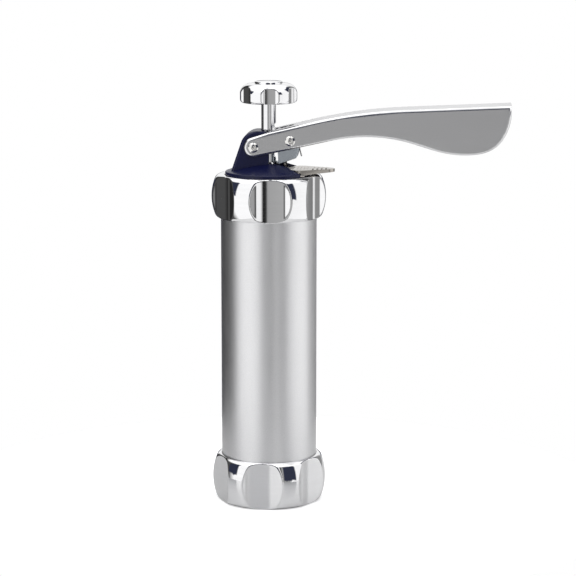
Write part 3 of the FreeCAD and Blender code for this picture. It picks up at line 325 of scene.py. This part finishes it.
def gridOfCopiesTree():
    # sets copies of a piece on a rectangular grid
    tree, given, result = newTree("gridOfCopies", [
        ("Length", "NodeSocketFloat", 0.01),
        ("Width", "NodeSocketFloat", 0.01),
        ("Along", "NodeSocketInt", 3),
        ("Across", "NodeSocketInt", 3),
        ("Place", "NodeSocketVector", None),
        ("Material", "NodeSocketMaterial", None),
    ])
    grid = tree.nodes.new("GeometryNodeMeshGrid")
    tree.links.new(given.outputs["Length"], grid.inputs["Size X"])
    tree.links.new(given.outputs["Width"], grid.inputs["Size Y"])
    tree.links.new(given.outputs["Along"], grid.inputs["Vertices X"])
    tree.links.new(given.outputs["Across"], grid.inputs["Vertices Y"])
    place = tree.nodes.new("GeometryNodeTransform")
    tree.links.new(grid.outputs["Mesh"], place.inputs["Geometry"])
    tree.links.new(given.outputs["Place"], place.inputs["Translation"])
    copies = tree.nodes.new("GeometryNodeInstanceOnPoints")
    tree.links.new(place.outputs["Geometry"], copies.inputs["Points"])
    tree.links.new(given.outputs["Geometry"], copies.inputs["Instance"])
    endTree(tree, given, result, copies.outputs["Instances"])
    return tree


# ---------------------------------------------------------------- finishes


def newFinish(name, base, metallic, roughness, specular=0.5):
    finish = bpy.data.materials.new(name)
    finish.use_nodes = True
    shader = finish.node_tree.nodes["Principled BSDF"]
    shader.inputs["Base Color"].default_value = (*base, 1)
    shader.inputs["Metallic"].default_value = metallic
    shader.inputs["Roughness"].default_value = roughness
    shader.inputs["Specular IOR Level"].default_value = specular
    return finish, finish.node_tree, shader


def grainOn(tree, scale, detail=3.0, roughness=0.6):
    # a noise on the piece's own coordinates, stretched by a scale for each axis
    where = tree.nodes.new("ShaderNodeTexCoord")
    stretch = tree.nodes.new("ShaderNodeMapping")
    stretch.inputs["Scale"].default_value = scale
    noise = tree.nodes.new("ShaderNodeTexNoise")
    noise.inputs["Scale"].default_value = 1.0
    noise.inputs["Detail"].default_value = detail
    noise.inputs["Roughness"].default_value = roughness
    tree.links.new(where.outputs["Object"], stretch.inputs["Vector"])
    tree.links.new(stretch.outputs["Vector"], noise.inputs["Vector"])
    return noise.outputs["Fac"]


def rangeOf(tree, value, low, high):
    spread = tree.nodes.new("ShaderNodeMapRange")
    spread.inputs["From Min"].default_value = 0.3
    spread.inputs["From Max"].default_value = 0.7
    spread.inputs["To Min"].default_value = low
    spread.inputs["To Max"].default_value = high
    tree.links.new(value, spread.inputs["Value"])
    return spread.outputs["Result"]


def tintBetween(tree, value, dark, light):
    ramp = tree.nodes.new("ShaderNodeValToRGB")
    ramp.color_ramp.elements[0].position = 0.3
    ramp.color_ramp.elements[0].color = (*dark, 1)
    ramp.color_ramp.elements[1].position = 0.7
    ramp.color_ramp.elements[1].color = (*light, 1)
    tree.links.new(value, ramp.inputs["Fac"])
    return ramp.outputs["Color"]


def bumpFrom(tree, shader, value, depth):
    bump = tree.nodes.new("ShaderNodeBump")
    bump.inputs["Strength"].default_value = 1.0
    bump.inputs["Distance"].default_value = depth
    tree.links.new(value, bump.inputs["Height"])
    tree.links.new(bump.outputs["Normal"], shader.inputs["Normal"])


def satinBarrelFinish():
    # fine blasted aluminium with a faint up-and-down drawing grain
    finish, tree, shader = newFinish("satinBarrel", (0.84, 0.84, 0.85), 1.0, 0.4)
    speckle = grainOn(tree, (2600, 2600, 2600), detail=2.0)
    drawn = grainOn(tree, (1500, 1500, 40), detail=3.0)
    tree.links.new(rangeOf(tree, drawn, 0.34, 0.42), shader.inputs["Roughness"])
    tree.links.new(tintBetween(tree, speckle, (0.80, 0.80, 0.81), (0.88, 0.88, 0.89)),
                   shader.inputs["Base Color"])
    bumpFrom(tree, shader, speckle, 0.000006)
    return finish


def mirrorFinish(name, base, low, high):
    # polished aluminium: nearly a mirror, with faint buffing marks
    finish, tree, shader = newFinish(name, base, 1.0, low)
    buffing = grainOn(tree, (60, 60, 700), detail=4.0)
    tree.links.new(rangeOf(tree, buffing, low, high), shader.inputs["Roughness"])
    dark = tuple(c * 0.96 for c in base)
    tree.links.new(tintBetween(tree, buffing, dark, base), shader.inputs["Base Color"])
    return finish


def brushedSteelFinish(name, base, low, high, along, depth=0.000002):
    # sheet steel with hairlines; along is the axis that the hairlines follow
    finish, tree, shader = newFinish(name, base, 1.0, low)
    scale = [2200.0, 2200.0, 2200.0]
    scale["xyz".index(along)] = 25.0
    hairlines = grainOn(tree, scale, detail=4.0, roughness=0.7)
    tree.links.new(rangeOf(tree, hairlines, low, high), shader.inputs["Roughness"])
    dark = tuple(c * 0.9 for c in base)
    tree.links.new(tintBetween(tree, hairlines, dark, base), shader.inputs["Base Color"])
    bumpFrom(tree, shader, hairlines, depth)
    return finish


def mouldedPlasticFinish(name, base, roughness, specular=0.5, coat=0.0):
    finish, tree, shader = newFinish(name, base, 0.0, roughness, specular)
    shader.inputs["Coat Weight"].default_value = coat
    shader.inputs["Coat Roughness"].default_value = 0.2
    skin = grainOn(tree, (900, 900, 900), detail=3.0)
    tree.links.new(rangeOf(tree, skin, roughness * 0.85, roughness * 1.15),
                   shader.inputs["Roughness"])
    light = tuple(min(1.0, c * 1.12) for c in base)
    tree.links.new(tintBetween(tree, skin, base, light), shader.inputs["Base Color"])
    bumpFrom(tree, shader, skin, 0.000008)
    return finish


finishes = {
    "polished_aluminium": satinBarrelFinish(),
    "bright_aluminium": mirrorFinish("mirrorAluminium", (0.93, 0.93, 0.94), 0.03, 0.06),
    "rod_aluminium": mirrorFinish("brightBar", (0.9, 0.9, 0.91), 0.03, 0.05),
    "disc_steel": brushedSteelFinish("stampedDisc", (0.66, 0.67, 0.68), 0.25, 0.38, "x"),
    "navy_plastic": mouldedPlasticFinish("navyPlastic", (0.004, 0.006, 0.044), 0.34, 0.3, 0.08),
    "plated_steel": mirrorFinish("platedSteel", (0.82, 0.81, 0.79), 0.06, 0.11),
    "bearing_plastic": mouldedPlasticFinish("bearingPlastic", (0.78, 0.77, 0.72), 0.42),
    "lever_steel": brushedSteelFinish("brushedLever", (0.84, 0.84, 0.85), 0.16, 0.24, "x"),
    "zinc_steel": brushedSteelFinish("zincPawl", (0.62, 0.67, 0.72), 0.26, 0.38, "z"),
    "spring_steel": mirrorFinish("springWire", (0.6, 0.6, 0.6), 0.15, 0.25),
    "plate_steel": brushedSteelFinish("zincPlate", (0.5, 0.47, 0.43), 0.16, 0.26, "y"),
    "piston_plastic": mouldedPlasticFinish("pistonPlastic", (0.8, 0.8, 0.77), 0.38),
    "seal_rubber": mouldedPlasticFinish("sealRubber", (0.5, 0.5, 0.48), 0.55, 0.3),
}
slotOf = {part["node"]: part["material_slot"] for part in record["subparts"]}
for node, holder in frame["nodes"].items():
    for slot in holder.material_slots:
        slot.material = finishes[slotOf[node]]
print("finishes ready:", len(finishes))

scallopPress = scallopTree()
roundWire = roundWireTree()
ringOfCopies = ringOfCopiesTree()
gridOfCopies = gridOfCopiesTree()

# ---------------------------------------------------------------- barrel

barrel = {"wall": 2.0 * mm, "threadPitch": 2.5 * mm, "threadDepth": 0.6 * mm, "threadTurns": 5,
          "endRound": 0.35 * mm}


def barrelProfile(b, low, high):
    outer = high.x
    inner = outer - b["wall"]
    rounding = b["endRound"]
    profile = [(inner, low.z + rounding), (inner + rounding, low.z), (outer - rounding, low.z)]

    def threadAt(height):
        third = b["threadPitch"] * 0.18
        return [(outer, height - 2 * third), (outer - b["threadDepth"], height - 0.6 * third),
                (outer - b["threadDepth"], height + 0.6 * third), (outer, height + 2 * third)]

    profile.append((outer, low.z + rounding))
    for turn in range(b["threadTurns"]):
        profile += threadAt(low.z + (turn + 1) * b["threadPitch"])
    steps = 12
    bottom = low.z + (b["threadTurns"] + 2) * b["threadPitch"]
    top = high.z - (b["threadTurns"] + 2) * b["threadPitch"]
    profile += [(outer, bottom + (top - bottom) * i / steps) for i in range(steps + 1)]
    for turn in reversed(range(b["threadTurns"])):
        profile += threadAt(high.z - (turn + 1) * b["threadPitch"])
    profile += [(outer, high.z - rounding), (outer - rounding, high.z), (inner + rounding, high.z),
                (inner, high.z - rounding)]
    return profile


def makeBarrel():
    low, high = sizeOf("barrel")
    mesh = lathe("barrelTube", barrelProfile(barrel, low, high), segments=192)
    mesh.materials.append(finishes["polished_aluminium"])
    addPiece("barrelTube", mesh, "barrel")


makeBarrel()
print("barrel turned")

# ---------------------------------------------------------------- screw rings

ring = {"bore": 27.2 * mm, "endRadius": 29.3 * mm, "bulge": 2.9 * mm, "edgeRound": 2.1 * mm,
        "scallops": 6, "floor": 28.4 * mm, "halfWidth": 8.8 * mm, "sag": 0.78 * mm,
        "sideSlope": math.tan(math.radians(15)), "scallopEdge": 0.5 * mm, "threadPitch": 2.5 * mm,
        "threadDepth": 0.5 * mm}
rings = {
    "upper_ring": {"lip": 2.0 * mm, "opening": 24.8 * mm, "lipOnTop": True, "turned": 36.5},
    "lower_ring": {"lip": 2.5 * mm, "opening": 22.5 * mm, "lipOnTop": False, "turned": 27.5},
}


def ringProfile(r, one, low, high):
    height = high.z - low.z
    middle = (low.z + high.z) / 2
    bow = (height * height / 4 + r["bulge"] ** 2) / (2 * r["bulge"])

    def outerAt(z):
        radius = r["endRadius"] + r["bulge"] - bow + math.sqrt(bow * bow - (z - middle) ** 2)
        fromEnd = min(z - low.z, high.z - z)
        if fromEnd < r["edgeRound"]:
            rest = r["edgeRound"] - fromEnd
            radius -= r["edgeRound"] - math.sqrt(max(0.0, r["edgeRound"] ** 2 - rest * rest))
        return radius

    rounding, heights = r["edgeRound"], []
    steps = 9
    for i in range(steps):
        heights.append(low.z + rounding * (1 - math.cos(math.pi / 2 * i / steps)))
    span = 40
    for i in range(span + 1):
        heights.append(low.z + rounding + (height - 2 * rounding) * i / span)
    for i in reversed(range(steps)):
        heights.append(high.z - rounding * (1 - math.cos(math.pi / 2 * i / steps)))
    profile = [(outerAt(z), z) for z in heights]
    soft = 0.35 * mm
    threads = []
    count = 5
    start = high.z - one["lip"] - 1.5 * r["threadPitch"]
    if not one["lipOnTop"]:
        start = low.z + one["lip"] + (count + 0.5) * r["threadPitch"]
    for turn in range(count):
        z = start - turn * r["threadPitch"]
        threads += [(r["bore"], z + 0.4 * r["threadPitch"]), (r["bore"] + r["threadDepth"], z),
                    (r["bore"], z - 0.4 * r["threadPitch"])]
    if one["lipOnTop"]:
        profile += [(one["opening"] + soft, high.z), (one["opening"], high.z - soft),
                    (one["opening"], high.z - one["lip"]), (r["bore"], high.z - one["lip"])]
        profile += threads + [(r["bore"], low.z + soft), (r["bore"] + soft, low.z)]
    else:
        profile += [(r["bore"] + soft, high.z), (r["bore"], high.z - soft)]
        profile += threads + [(r["bore"], low.z + one["lip"]), (one["opening"], low.z + one["lip"]),
                              (one["opening"], low.z + soft), (one["opening"] + soft, low.z)]
    return profile


def makeRing(node):
    one = rings[node]
    low, high = sizeOf(node)
    turned = lathe(node + "Turned", ringProfile(ring, one, low, high), segments=540, sharpAngle=40)
    mesh = throughTree(turned, scallopPress, {
        "Scallops": ring["scallops"], "Floor": ring["floor"], "Half Width": ring["halfWidth"],
        "Sag": ring["sag"], "Side Slope": ring["sideSlope"], "Turned": math.radians(one["turned"]),
        "Edge Round": ring["scallopEdge"], "Material": finishes["bright_aluminium"],
    }, node + "Scalloped")
    mesh.shade_smooth()
    mesh.set_sharp_from_angle(angle=math.radians(40))
    addPiece(node + "Scalloped", mesh, node)


for node in rings:
    makeRing(node)
print("rings scalloped")

# ---------------------------------------------------------------- knob and rod

knob = {"edgeRound": 2.0 * mm, "shoulderStart": 5.9 * mm, "shoulder": 6.2 * mm,
        "topRadius": 10.3 * mm, "capRadius": 7.8 * mm, "capSeat": 1.1 * mm,
        "radius": 16.0 * mm, "socket": 4.1 * mm, "floor": 14.35 * mm,
        "halfWidth": 3.2 * mm, "sag": 0.07 * mm, "sideSlope": math.tan(math.radians(26)),
        "turned": 37.5, "scallopEdge": 0.4 * mm}


def arcBetween(start, stop, radius, steps):
    # an outward-bulging arc from start to stop
    a, b = Vector(start), Vector(stop)
    chord = b - a
    middle = (a + b) / 2
    inward = Vector((-chord.y, chord.x)).normalized()
    centre = middle + inward * math.sqrt(radius * radius - (chord.length / 2) ** 2)
    first = math.atan2(a.y - centre.y, a.x - centre.x)
    last = math.atan2(b.y - centre.y, b.x - centre.x)
    turns = [first + (last - first) * i / steps for i in range(steps + 1)]
    return [(centre.x + radius * math.cos(turn), centre.y + radius * math.sin(turn))
            for turn in turns]


def makeKnob():
    low, high = sizeOf("knob")
    k = knob
    soft = 0.3 * mm
    profile = roundCorner((k["radius"] - k["edgeRound"], low.z + k["edgeRound"]),
                          k["edgeRound"], -90, 0, 8)
    side = low.z + k["shoulderStart"]
    start = low.z + k["edgeRound"]
    profile += [(k["radius"], start + (side - start) * i / 10) for i in range(1, 10)]
    profile += arcBetween((k["radius"], side), (k["topRadius"], high.z), k["shoulder"], 18)
    profile += [(k["capRadius"] + soft, high.z), (k["capRadius"], high.z - soft),
                (k["capRadius"], high.z - k["capSeat"]), (k["socket"], high.z - k["capSeat"]),
                (k["socket"], low.z + soft), (k["socket"] + soft, low.z)]
    turned = lathe("knobTurned", profile, segments=432, sharpAngle=40)
    mesh = throughTree(turned, scallopPress, {
        "Scallops": 6, "Floor": k["floor"], "Half Width": k["halfWidth"], "Sag": k["sag"],
        "Side Slope": k["sideSlope"], "Turned": math.radians(k["turned"]),
        "Edge Round": k["scallopEdge"], "Material": finishes["bright_aluminium"],
    }, "knobScalloped")
    mesh.shade_smooth()
    mesh.set_sharp_from_angle(angle=math.radians(40))
    addPiece("knobScalloped", mesh, "knob")


def makeKnobCap():
    low, high = sizeOf("knob_cap")
    radius = high.x
    soft = 0.45 * mm
    profile = [(0, low.z), (radius, low.z)]
    profile += roundCorner((radius - soft, high.z - soft), soft, 0, 90, 5)
    profile += [(radius * 0.55, high.z), (0, high.z)]
    mesh = lathe("knobCapDisc", profile, segments=96, sharpAngle=50)
    mesh.materials.append(finishes["bright_aluminium"])
    addPiece("knobCapDisc", mesh, "knob_cap")


rod = {"notchPitch": 5.4 * mm, "notchHeight": 2.2 * mm, "notchDepth": 1.1 * mm, "notchCount": 36,
       "firstNotch": 214.6 * mm, "stubRadius": 3.0 * mm, "segments": 96}


def makeRod():
    low, high = sizeOf("push_rod")
    radius = high.y
    shoulder = sizeOf("piston_disc")[1].z + 0.1 * mm
    r = rod
    half = r["notchHeight"] / 2
    levels = [(shoulder, 0.0), (high.z - 0.3 * mm, 0.0)]
    for i in range(r["notchCount"]):
        z = r["firstNotch"] - i * r["notchPitch"]
        for offset, share in ((-1.45, 0.0), (-1.15, 0.28), (-0.8, 0.72), (-0.55, 0.97), (0.0, 1.0),
                              (0.55, 0.97), (0.8, 0.72), (1.15, 0.28), (1.45, 0.0)):
            levels.append((z + offset * half, share))
    levels.sort()
    vertices, faces = [], []
    count = r["segments"]

    def addRow(rowRadius, z, cut):
        for i in range(count):
            angle = 2 * math.pi * (i + 0.5) / count
            vertices.append((min(rowRadius * math.cos(angle), cut), rowRadius * math.sin(angle), z))

    addRow(r["stubRadius"] - 0.4 * mm, low.z, 1)
    addRow(r["stubRadius"], low.z + 0.4 * mm, 1)
    addRow(r["stubRadius"], shoulder, 1)
    for z, share in levels:
        addRow(radius, z, radius - share * r["notchDepth"])
    addRow(radius - 0.3 * mm, high.z, 1)
    rows = len(vertices) // count
    for k in range(rows - 1):
        for i in range(count):
            j = (i + 1) % count
            faces.append((k * count + i, k * count + j, (k + 1) * count + j, (k + 1) * count + i))
    faces.append(tuple(reversed(range(count))))
    faces.append(tuple(range((rows - 1) * count, rows * count)))
    mesh = meshFrom("notchedRod", vertices, faces, sharpAngle=33)
    mesh.materials.append(finishes["rod_aluminium"])
    addPiece("notchedRod", mesh, "push_rod")


makeKnob()
makeKnobCap()
makeRod()
print("knob and rod turned")

# ---------------------------------------------------------------- head, lever, pawl and plate

softEdges = {"head": 0.45 * mm, "lever": 0.0, "drive_pawl": 0.35 * mm, "release_plate": 0.22 * mm,
             "head_base": 0.3 * mm, "pawl_spacers": 0.15 * mm, "pivot_washers": 0.12 * mm,
             "die_disc": 0.15 * mm, "piston_disc": 0.4 * mm, "piston_nut": 0.3 * mm,
             "piston_washer": 0.15 * mm, "piston_seal": 0.0, "rod_bush": 0.2 * mm,
             "pivot_bush": 0.2 * mm, "knob_screw": 0.2 * mm}
for node, edge in softEdges.items():
    mesh = softenedCopy(node, edge)
    mesh.materials.append(finishes[slotOf[node]])
    addPiece(node + "Softened", mesh, node)
print("moulded and pressed pieces softened:", len(softEdges))

# ---------------------------------------------------------------- rivets and pins

rivet = {"shank": 2.0 * mm, "headRadius": 2.8 * mm, "headHeight": 1.2 * mm, "rim": 0.42 * mm,
         "dimple": 0.95 * mm,
         "dimpleDepth": 0.7 * mm}


def makeRivet(node):
    low, high = sizeOf(node)
    centre = (low + high) / 2
    half = (high.y - low.y) / 2
    r = rivet
    under = half - r["headHeight"]

    def headFrom(end):
        # from the rim of a head to the middle of its dimple
        points = [(r["headRadius"], end * under), (r["headRadius"], end * (under + r["rim"]))]
        dome = 9
        for i in range(1, dome + 1):
            share = i / dome
            radius = r["headRadius"] + (r["dimple"] - r["headRadius"]) * share
            rise = r["rim"] + (r["headHeight"] - r["rim"]) * math.sin(math.pi / 2 * share)
            points.append((radius, end * (under + rise)))
        points += [(r["dimple"] * 0.8, end * (half - 0.2 * mm)),
                   (r["dimple"] * 0.4, end * (half - r["dimpleDepth"])),
                   (0, end * (half - r["dimpleDepth"]))]
        return points

    shank = [(r["shank"], -under), (r["shank"], under)]
    profile = list(reversed(headFrom(-1))) + shank + headFrom(1)
    mesh = shiftMesh(lathe(node + "Turned", profile, segments=64, sharpAngle=50),
                     centre.x, centre.y, centre.z, alongY=True)
    mesh.materials.append(finishes["plated_steel"])
    addPiece(node + "Domed", mesh, node)


for node in ("pivot_pin", "drive_pin"):
    makeRivet(node)
print("rivets headed")

# ---------------------------------------------------------------- springs

pawlSpring = {"wire": 0.4 * mm, "coil": 2.9 * mm, "turns": 5,
              "legs": [[(4.9, -8.2), (5.4, -9.9)], [(9.5, 5.4)]]}
releaseSpring = {"wire": 0.22 * mm, "coil": 0.95 * mm, "turns": 8,
                 "legs": [[(5.0, 0.9)], [(4.0, -1.1)]]}


def makeSpring(name, node, spring, centre):
    # a torsion spring wound about an axis along Y, with its two legs
    pitch = spring["wire"] * 2.15
    length = pitch * spring["turns"]
    perTurn = 24
    points = []
    for i in range(spring["turns"] * perTurn + 1):
        angle = 2 * math.pi * i / perTurn
        points.append((spring["coil"] * math.cos(angle), length / 2 - pitch * i / perTurn,
                       spring["coil"] * math.sin(angle)))
    first = [(x * mm, length / 2, z * mm) for x, z in spring["legs"][0]]
    last = [(x * mm, -length / 2, z * mm) for x, z in spring["legs"][1]]
    points = list(reversed(first)) + points + last
    curve = bpy.data.curves.new(name + "Line", "CURVE")
    curve.dimensions = "3D"
    line = curve.splines.new("POLY")
    line.points.add(len(points) - 1)
    for place, point in zip(line.points, points):
        place.co = (point[0] + centre[0], point[1] + centre[1], point[2] + centre[2], 1)
    mesh = throughTree(curve, roundWire, {"Wire Radius": spring["wire"],
                                          "Material": finishes["spring_steel"]}, name)
    mesh.shade_smooth()
    mesh.set_sharp_from_angle(angle=math.radians(60))
    addPiece(name, mesh, node)


def middleOf(node):
    low, high = sizeOf(node)
    return (low + high) / 2


makeSpring("pawlSpringCoil", "pawl_spring", pawlSpring, middleOf("drive_pin"))
makeSpring("releaseSpringCoil", "release_spring", releaseSpring, middleOf("release_pin"))
print("springs wound")

# ---------------------------------------------------------------- head screws and grip dots

screw = {"radius": 1.25 * mm, "headRadius": 1.4 * mm, "headHeight": 1.3 * mm, "length": 6.0 * mm,
         "circle": 21.3 * mm, "count": 3}


def makeHeadScrews():
    low, high = sizeOf("head_screws")
    s = screw
    seat = low.z + s["headHeight"]
    profile = [(0, -s["headHeight"] + 0.5 * mm), (0.35 * mm, -s["headHeight"] + 0.5 * mm),
               (0.5 * mm, -s["headHeight"]), (s["headRadius"] * 0.75, -s["headHeight"]),
               (s["headRadius"] * 0.95, -s["headHeight"] * 0.75), (s["headRadius"], 0)]
    turns = 8
    for i in range(turns):
        z = 0.2 * mm + (s["length"] - 0.8 * mm) * i / turns
        step = (s["length"] - 0.8 * mm) / turns
        profile += [(s["radius"], z), (s["radius"] * 0.82, z + step * 0.5)]
    profile += [(s["radius"], s["length"] - 0.6 * mm), (s["radius"] * 0.3, s["length"]),
                (0, s["length"])]
    one = lathe("screwTurned", profile, segments=24, sharpAngle=50)
    mesh = throughTree(one, ringOfCopies, {
        "Count": s["count"], "Circle Radius": s["circle"], "Height": seat, "Start": math.pi,
        "Material": finishes["plated_steel"],
    }, "headScrewSet")
    mesh.shade_smooth()
    mesh.set_sharp_from_angle(angle=math.radians(50))
    addPiece("headScrewSet", mesh, "head_screws")


gripDots = {"radius": 0.36 * mm, "rise": 0.1 * mm, "along": 4, "across": 5, "length": 5.4 * mm,
            "width": 9.6 * mm, "startX": 16.6 * mm, "plateTop": 190.8 * mm, "root": 0.3 * mm}


def makeGripDots():
    g = gripDots
    profile = [(0, g["rise"]), (g["radius"] * 0.5, g["rise"] * 0.85), (g["radius"], 0),
               (g["radius"], -g["root"]), (0, -g["root"])]
    dot = lathe("gripDot", list(reversed(profile)), segments=12, sharpAngle=60)
    place = (g["startX"] + g["length"] / 2, 0.0, g["plateTop"])
    mesh = throughTree(dot, gridOfCopies, {
        "Length": g["length"], "Width": g["width"], "Along": g["along"], "Across": g["across"],
        "Place": place, "Material": finishes["plate_steel"],
    }, "gripDots")
    mesh.shade_smooth()
    addPiece("gripDots", mesh, slot="plate_steel", body=bodyOf("release_plate"))


makeHeadScrews()
makeGripDots()
print("screws and grip dots set")

# ---------------------------------------------------------------- floor, light and camera

studio = {"floorRadius": 0.2, "floorTone": 0.74, "floorSeen": 0.85, "floorGlow": 0.5,
          "topLight": 6.0, "lightSize": 1.6, "lightPlace": (-0.2, -0.3, 1.5),
          "lightAim": (0, 0, 0.1), "worldStrength": 1.0, "ceilingFrom": 34, "ceilingRamp": 8.0,
          "ceilingTone": (1.15, 1.15, 1.15, 1), "patchTone": (0.03, 0.035, 0.06, 1),
          "patchEdge": 25.0, "raggedScale": 4.0, "raggedDepth": 0.3}
# grey of the studio's walls by direction round the object, in degrees from +X, each (angle, grey)
wallBands = [
    (-180, 0.02), (-175, 0.15), (-162, 1.05), (-105, 1.05), (-103.5, 0.05), (-101.5, 0.05),
    (-100.5, 0.42), (-79, 0.37), (-77, 0.02), (-73, 0.02), (-71, 0.95), (-63, 0.95), (-61.5, 0.05),
    (-59, 0.05), (-58, 0.36), (-42, 0.34), (-38, 0.98), (22, 1.05), (25, 0.26), (35, 0.26),
    (37, 0.9), (40, 0.9), (42, 0.2), (66, 0.3), (74, 0.95), (110, 0.95), (116, 0.02),
    (144, 0.02), (147, 0.1),
    (150, 0.02), (158, 0.07),
]
# dark furniture of the room above the screens: each (first angle, last angle, low, high)
darkPatches = [(-180, -154, 2, 36), (-56, -27, -4, 36), (-110, -80, 0, 80), (5, 60, 22, 48),
               (70, 124, -60, 4)]


def makeFloor():
    work = bmesh.new()
    bmesh.ops.create_circle(work, cap_ends=True, segments=96, radius=studio["floorRadius"])
    mesh = bpy.data.meshes.new("floor")
    work.to_mesh(mesh)
    work.free()
    tone = (studio["floorTone"],) * 3
    paint, tree, shader = newFinish("paleFloor", tone, 0.0, 0.18, 0.8)
    matte = tree.nodes.new("ShaderNodeBsdfPrincipled")
    matte.inputs["Base Color"].default_value = (studio["floorSeen"],) * 3 + (1,)
    matte.inputs["Roughness"].default_value = 0.8
    matte.inputs["Specular IOR Level"].default_value = 0.0
    matte.inputs["Emission Color"].default_value = (1, 1, 1, 1)
    matte.inputs["Emission Strength"].default_value = studio["floorGlow"]
    seen = tree.nodes.new("ShaderNodeLightPath")
    pick = tree.nodes.new("ShaderNodeMixShader")
    tree.links.new(seen.outputs["Is Camera Ray"], pick.inputs[0])
    tree.links.new(shader.outputs[0], pick.inputs[1])
    tree.links.new(matte.outputs[0], pick.inputs[2])
    tree.links.new(pick.outputs[0], tree.nodes["Material Output"].inputs["Surface"])
    mesh.materials.append(paint)
    floor = bpy.data.objects.new("floor", mesh)
    bpy.context.scene.collection.objects.link(floor)


def makeStudioWorld():
    # white surroundings with soft grey and dark bands, as a product studio's screens give
    world = bpy.data.worlds.new("studio")
    bpy.context.scene.world = world
    world.use_nodes = True
    tree = world.node_tree
    tree.nodes.clear()

    def calc(operation, *values):
        return mathNode(tree, operation, *values)

    where = tree.nodes.new("ShaderNodeTexCoord")
    split = tree.nodes.new("ShaderNodeSeparateXYZ")
    tree.links.new(where.outputs["Generated"], split.inputs[0])
    x, y, z = split.outputs
    turn = calc("DIVIDE", calc("ADD", calc("ARCTAN2", y, x), math.pi), 2 * math.pi)
    bands = tree.nodes.new("ShaderNodeValToRGB")
    ramp = bands.color_ramp
    while len(ramp.elements) > 1:
        ramp.elements.remove(ramp.elements[-1])
    ramp.elements[0].position = 0.0
    ramp.elements[0].color = (wallBands[0][1],) * 3 + (1,)
    for angle, grey in wallBands[1:]:
        stop = ramp.elements.new((angle + 180) / 360)
        stop.color = (grey, grey, grey, 1)
    tree.links.new(turn, bands.inputs["Fac"])

    # dark patches above the screens with ragged edges, and a bright ceiling
    elevation = calc("ARCSINE", z)
    azimuth = calc("ARCTAN2", y, x)
    ragged = tree.nodes.new("ShaderNodeTexNoise")
    ragged.inputs["Scale"].default_value = studio["raggedScale"]
    tree.links.new(where.outputs["Generated"], ragged.inputs["Vector"])
    wobble = calc("MULTIPLY", calc("SUBTRACT", ragged.outputs["Fac"], 0.5),
                  studio["raggedDepth"])
    raised = calc("ADD", elevation, wobble)
    inStrip = 0.0
    for first, last, lowest, highest in darkPatches:
        patch = calc("MULTIPLY",
                     smoothBand(calc, raised, math.radians(lowest), math.radians(highest)),
                     smoothBand(calc, azimuth, math.radians(first), math.radians(last)))
        inStrip = calc("ADD", inStrip, patch)
    above = calc("SUBTRACT", elevation, math.radians(studio["ceilingFrom"]))
    ceiling = calc("SMOOTH_MAX", 0.0, calc("MULTIPLY", above, studio["ceilingRamp"]), 0.2)
    ceilingShare = calc("MINIMUM", ceiling, 1.0)
    wall = tree.nodes.new("ShaderNodeMix")
    wall.data_type = "RGBA"
    tree.links.new(ceilingShare, wall.inputs["Factor"])
    tree.links.new(bands.outputs["Color"], wall.inputs["A"])
    wall.inputs["B"].default_value = studio["ceilingTone"]
    strip = tree.nodes.new("ShaderNodeMix")
    strip.data_type = "RGBA"
    tree.links.new(inStrip, strip.inputs["Factor"])
    tree.links.new(wall.outputs["Result"], strip.inputs["A"])
    strip.inputs["B"].default_value = studio["patchTone"]

    seen = tree.nodes.new("ShaderNodeLightPath")
    studioLight = tree.nodes.new("ShaderNodeBackground")
    studioLight.inputs["Strength"].default_value = studio["worldStrength"]
    tree.links.new(strip.outputs["Result"], studioLight.inputs["Color"])
    backdrop = tree.nodes.new("ShaderNodeBackground")
    backdrop.inputs["Color"].default_value = (1, 1, 1, 1)
    pick = tree.nodes.new("ShaderNodeMixShader")
    tree.links.new(seen.outputs["Is Camera Ray"], pick.inputs[0])
    tree.links.new(studioLight.outputs[0], pick.inputs[1])
    tree.links.new(backdrop.outputs[0], pick.inputs[2])
    out = tree.nodes.new("ShaderNodeOutputWorld")
    tree.links.new(pick.outputs[0], out.inputs["Surface"])


def smoothBand(calc, value, start, stop):
    # 1 between start and stop, with narrow soft edges
    sides = []
    for distance in (calc("SUBTRACT", value, start), calc("SUBTRACT", stop, value)):
        share = calc("MULTIPLY", distance, studio["patchEdge"])
        sides.append(calc("MINIMUM", calc("MAXIMUM", share, 0.0), 1.0))
    return calc("MULTIPLY", *sides)


def makeTopLight():
    light = bpy.data.lights.new("softTop", "AREA")
    light.energy = studio["topLight"]
    light.size = studio["lightSize"]
    lamp = bpy.data.objects.new("softTop", light)
    lamp.location = studio["lightPlace"]
    aim = Vector(studio["lightAim"]) - lamp.location
    lamp.rotation_euler = aim.to_track_quat("-Z", "Y").to_euler()
    bpy.context.scene.collection.objects.link(lamp)


view = {"azimuth": 4.5, "distance": 1.207, "height": 0.3344, "sideways": 0.01084, "down": 9.97,
        "lens": 135.0}


def makeCamera():
    data = bpy.data.cameras.new("camera")
    data.lens = view["lens"]
    data.sensor_width = 36.0
    camera = bpy.data.objects.new("camera", data)
    turn = math.radians(view["azimuth"])
    camera.location = (view["distance"] * math.sin(turn) + view["sideways"] * math.cos(turn),
                       -view["distance"] * math.cos(turn) + view["sideways"] * math.sin(turn),
                       view["height"])
    camera.rotation_euler = (math.radians(90 - view["down"]), 0, turn)
    bpy.context.scene.collection.objects.link(camera)
    bpy.context.scene.camera = camera


makeFloor()
makeStudioWorld()
makeTopLight()
makeCamera()
bpy.context.scene.view_settings.view_transform = "Standard"
print("studio set")
